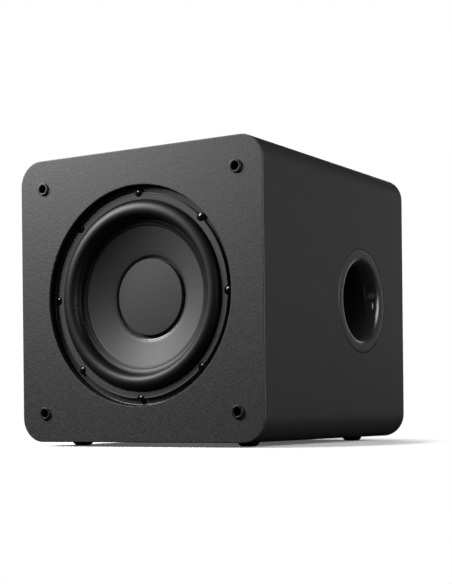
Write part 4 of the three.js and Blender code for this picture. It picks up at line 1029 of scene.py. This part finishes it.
def coordinate(tree, axis):
    """The Object coordinate along X, Y or Z."""
    return add_node(tree, "ShaderNodeSeparateXYZ", {0: object_place(tree)}).outputs[axis]


def below_face(material, depth, shade):
    """Paints everything deeper than a depth behind the front face in one shade, by a mask of the
    Object coordinate along Y. In the recess this is painted shade: near black, for the shade
    that falls in it round the driver. The tinned cans stand like this behind the green board."""
    tree, shader, surface = fed_input(material, "Base Color")
    deep = calculate(tree, "GREATER_THAN", coordinate(tree, "Y"), FRONT + depth * MM)
    feed(shader, {"Base Color": mix_colour(tree, deep, surface, shade)})
    return material


# one vinyl wraps the whole box, but the front board's copy is painted lighter and the copy on the walls and
# back painted darker, for how the lamps fall on each
front_vinyl_painted_lighter = finish("charcoal_vinyl_front", (0.020, 0.020, 0.0205), (0.045, 0.045, 0.046),
                     gloss=(0.42, 0.66), scale=760, depth=0.68, edge=0.3, dust=0.02)
side_vinyl_painted_darker = finish("charcoal_vinyl_side", *greys(0.011, 0.015), gloss=(0.5, 0.62),
                    scale=700, depth=0.12, stretch=0.25, edge=0.2, dust=0.02, specular=0.3)
# painted shade: the recess, deeper than 0.9 mm behind the front face, is near black for the shade that falls
# in it
dress(below_face(front_vinyl_painted_lighter, depth=0.9, shade=(0.004, 0.004, 0.004)), front)
dress(side_vinyl_painted_darker, walls, back_board)
dress(finish("socket_rubber", *greys(0.014, 0.022, 0), gloss=(0.3, 0.42), edge=0.5),
      *named("rubber_grille", "rubber_foot"))
dress(finish("trim_rubber", *greys(0.028, 0.036), gloss=(0.45, 0.6), depth=0.12, edge=0.15), trim)
dress(finish("frame_paint", *greys(0.026, 0.034, 0), gloss=(0.25, 0.4), depth=0.08, edge=0.0, dust=0.0),
      basket)
dress(finish("screw_black", *greys(0.004, 0.008, 0), gloss=(0.1, 0.2), depth=0.0, edge=0.3),
      *named("black_driver_screw", "black_amp_screw"))
dress(finish("surround_rubber", *greys(0.003, 0.005, 0), gloss=(0.42, 0.52), depth=0.04,
             edge=0.0, dust=0.0, specular=0.4), surround)


def smooth_neck(material, inner, outer, roughness):
    """Polishes the cone towards its neck: roughness is held below a limit, which falls towards
    the driver's axis. The distance is the length of the Object coordinate less that axis."""
    tree, shader, even = fed_input(material, "Roughness")
    from_axis = vector_math(tree, "SUBTRACT", object_place(tree), DRIVER)
    sideways = vector_math(tree, "MULTIPLY", from_axis.outputs[0], (1, 0, 1))
    radius = vector_math(tree, "LENGTH", sideways.outputs[0])
    limit = add_node(tree, "ShaderNodeMapRange", {
        "Value": radius.outputs["Value"], "To Min": roughness,
        "From Min": inner * MM, "From Max": outer * MM})
    feed(shader, {"Roughness": calculate(tree, "MINIMUM", limit.outputs[0], even)})
    return material


cone_pulp = finish("cone_pulp", *greys(0.048, 0.07), gloss=(0.50, 0.64), scale=700,
                   depth=0.3, edge=0.0, dust=0.0)
dress(smooth_neck(cone_pulp, inner=GROOVE + 1, outer=GROOVE + 8, roughness=0.13), cone)
dress(finish("cap_pulp", *greys(0.030, 0.038), gloss=(0.5, 0.62), scale=1400, depth=0.12, edge=0.1, dust=0.0),
      cap)


def satin_ring(material, depth):
    """Makes the port's flat ring satin and its mouth smoother the deeper it goes: a ramp gives
    the least roughness by how far the Object coordinate along X is from a depth inside the
    cabinet to the level of its side. The last hundredth, the flat ring, is the roughest."""
    tree, shader, even = fed_input(material, "Roughness")
    shallow = add_node(tree, "ShaderNodeMapRange", {
        "Value": coordinate(tree, "X"), "From Min": SIDE - depth * MM, "From Max": SIDE})
    by_depth = add_node(tree, "ShaderNodeValToRGB", {0: shallow.outputs[0]})
    stops = by_depth.color_ramp.elements
    stops.new(0.99)
    for stop, roughness in zip(stops, (0.08, 0.34, 0.55)):
        stop.color = (roughness, roughness, roughness, 1)
    feed(shader, {"Roughness": calculate(tree, "MAXIMUM", by_depth.outputs[0], even)})
    return material


port_gloss = finish("port_gloss", *greys(0.010, 0.013), gloss=(0.06, 0.14), depth=0.0, edge=0.0, dust=0.0)
dress(satin_ring(port_gloss, depth=5.0), flare)
dress(finish("duct_plastic", *greys(0.008, 0.012, 0), gloss=(0.4, 0.55)), tube, inner_flare)

# %% [markdown]
# ## The finishes of the back and the inside
# The plate has an orange-peel powder coat, the controls are satin mouldings with pale nylon
# levers, and the barrels are nickel. Inside come bare metal, ferrite, enamelled wire, film,
# cloth and fibreboard.

# %% Dress the back and the inside
dress(finish("powder_coat", *greys(0.012, 0.02), gloss=(0.35, 0.55), scale=1300,
             depth=0.7, edge=0.0), plate)
dress(finish("control_satin", *greys(0.012, 0.018), gloss=(0.3, 0.42), depth=0.1),
      *named("fluted", "inlet_housing", "switch_bezel", "jack_block"))
dress(finish("lever_nylon", (0.3, 0.3, 0.3), (0.36, 0.36, 0.355), gloss=(0.35, 0.5), depth=0.1),
      *named("ribbed"))
dress(finish("rocker_gloss", *greys(0.008, 0.012, 0), gloss=(0.1, 0.2), depth=0.02), rocker)
dress(finish("printing_ink", *greys(0.55, 0.7, 0), gloss=(0.5, 0.7), edge=0.0), scales,
      *named("pointer"))
dress(finish("nickel", (0.5, 0.49, 0.47), (0.66, 0.65, 0.62), gloss=(0.14, 0.28), depth=0.03, metallic=1.0),
      *named("jack_barrel", "inlet_blade"))
dress(finish("insulator_white", (0.6, 0.6, 0.58), (0.7, 0.7, 0.68), gloss=(0.3, 0.4)),
      *named("jack_insulator_white"))
dress(finish("insulator_red", (0.3, 0.012, 0.01), (0.42, 0.02, 0.015), gloss=(0.3, 0.4)),
      *named("jack_insulator_red"))
dress(finish("plated_steel", (0.45, 0.45, 0.46), (0.6, 0.6, 0.61), gloss=(0.25, 0.4), metallic=1.0),
      *named("turned_top_plate", "turned_pole_piece"))
dress(finish("ferrite", (0.03, 0.03, 0.032), (0.06, 0.06, 0.062), gloss=(0.6, 0.8)), *named("turned_magnet"))
dress(finish("copper", (0.5, 0.2, 0.08), (0.65, 0.3, 0.14), gloss=(0.25, 0.4), metallic=1.0),
      bpy.data.objects["turned_voice_coil"])
dress(finish("film", (0.4, 0.18, 0.04), (0.5, 0.25, 0.07), gloss=(0.2, 0.3)),
      bpy.data.objects["turned_voice_coil_former"])
dress(finish("cloth", (0.35, 0.22, 0.1), (0.5, 0.34, 0.18), gloss=(0.7, 0.9), depth=0.6), spider)
dress(finish("fibreboard", (0.34, 0.23, 0.13), (0.48, 0.35, 0.22), gloss=(0.7, 0.9), scale=600, depth=0.4),
      brace)
dress(finish("seal_foam", *greys(0.012, 0.03, 0), gloss=(0.8, 0.95), scale=1600, depth=0.8),
      amp_foam, driver_foam)
dress(finish("sleeve", (0.012, 0.014, 0.03), (0.018, 0.02, 0.04), gloss=(0.2, 0.35)), *named("sleeved"))

# %% [markdown]
# ## The floor's finish
# On a studio floor a box leaves a soft shadow, and further out the floor can't be told from the
# room. A painted shadow would suit one place of the lamps only, so the floor stays real: only
# the camera sees it pale, and with distance it is mixed with light as white as the room.

# %% Floor
FLOOR_NEAR, FLOOR_FAR = 0.203, 0.243  # metres from the middle: still lit, and already the room's white
FLOOR_GLOW = 0.1
floor_finish = bpy.data.materials.new("pale_floor")
floor_finish.use_nodes = True
tree = floor_finish.node_tree
shader = tree.nodes["Principled BSDF"]
seen = add_node(tree, "ShaderNodeLightPath").outputs["Is Camera Ray"]
mottle = add_node(tree, "ShaderNodeTexNoise", {"Scale": 3.0}).outputs["Fac"]
pale = mix_colour(tree, mottle, *greys(1.2, 1.26, 0))
dull = (0.035, 0.035, 0.035)  # to all but the camera, so the floor doesn't light the box
feed(shader, {"Base Color": mix_colour(tree, seen, dull, pale), "Roughness": 0.9, "Specular IOR Level": 0.0})
distance = vector_math(tree, "LENGTH", object_place(tree)).outputs["Value"]
fade = add_node(tree, "ShaderNodeMapRange", {
    "Value": distance, "From Min": FLOOR_NEAR, "From Max": FLOOR_FAR, "To Min": FLOOR_GLOW,
}, interpolation_type="SMOOTHSTEP")
glow = add_node(tree, "ShaderNodeEmission", {"Strength": seen})
both = add_node(tree, "ShaderNodeMixShader", {0: fade.outputs[0], 1: shader.outputs[0], 2: glow.outputs[0]})
feed(tree.nodes["Material Output"], {"Surface": both.outputs[0]})
dress(floor_finish, floor)

# %% [markdown]
# ## What keeps its CAD shape
# Plain blocks inside, such as the transformer, gain nothing from a finer mesh, so they are
# dressed as they are.

# %% Inner CAD parts
BOARD_STANDOFF = 17.0  # from the plate's inner face to the board
board_depth = (PLATE_BACK - FRONT) / MM - PLATE - BOARD_STANDOFF
laminate = finish("laminate", (0.01, 0.07, 0.03), (0.02, 0.12, 0.05), gloss=(0.25, 0.4), scale=250, depth=0.3)
CARRIED_FINISHES = {
    "terminal_block": finish("terminal", *greys(0.015, 0.03, 0)),
    "circuit_board": below_face(laminate, depth=board_depth + 0.1, shade=(0.3, 0.3, 0.31)),
    "transformer": finish("laminations", (0.09, 0.06, 0.04), (0.16, 0.11, 0.07), gloss=(0.3, 0.5),
                          stretch=0.1, depth=0.5),
    "heat_sink": finish("extruded_aluminium", (0.6, 0.6, 0.61), (0.75, 0.75, 0.76), gloss=(0.3, 0.45),
                        stretch=0.05, metallic=1.0),
    "speaker_lead": finish("lead_jacket", *greys(0.015, 0.025, 0), gloss=(0.4, 0.5)),
    "volume_shaft": bpy.data.materials["plated_steel"],
    "crossover_shaft": bpy.data.materials["plated_steel"],
}
for name, material in CARRIED_FINISHES.items():
    dress(material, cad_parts[name])
undressed = [name for name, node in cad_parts.items()
             if not node.hide_render and name not in CARRIED_FINISHES]
print("CAD pieces without a finish:", undressed)
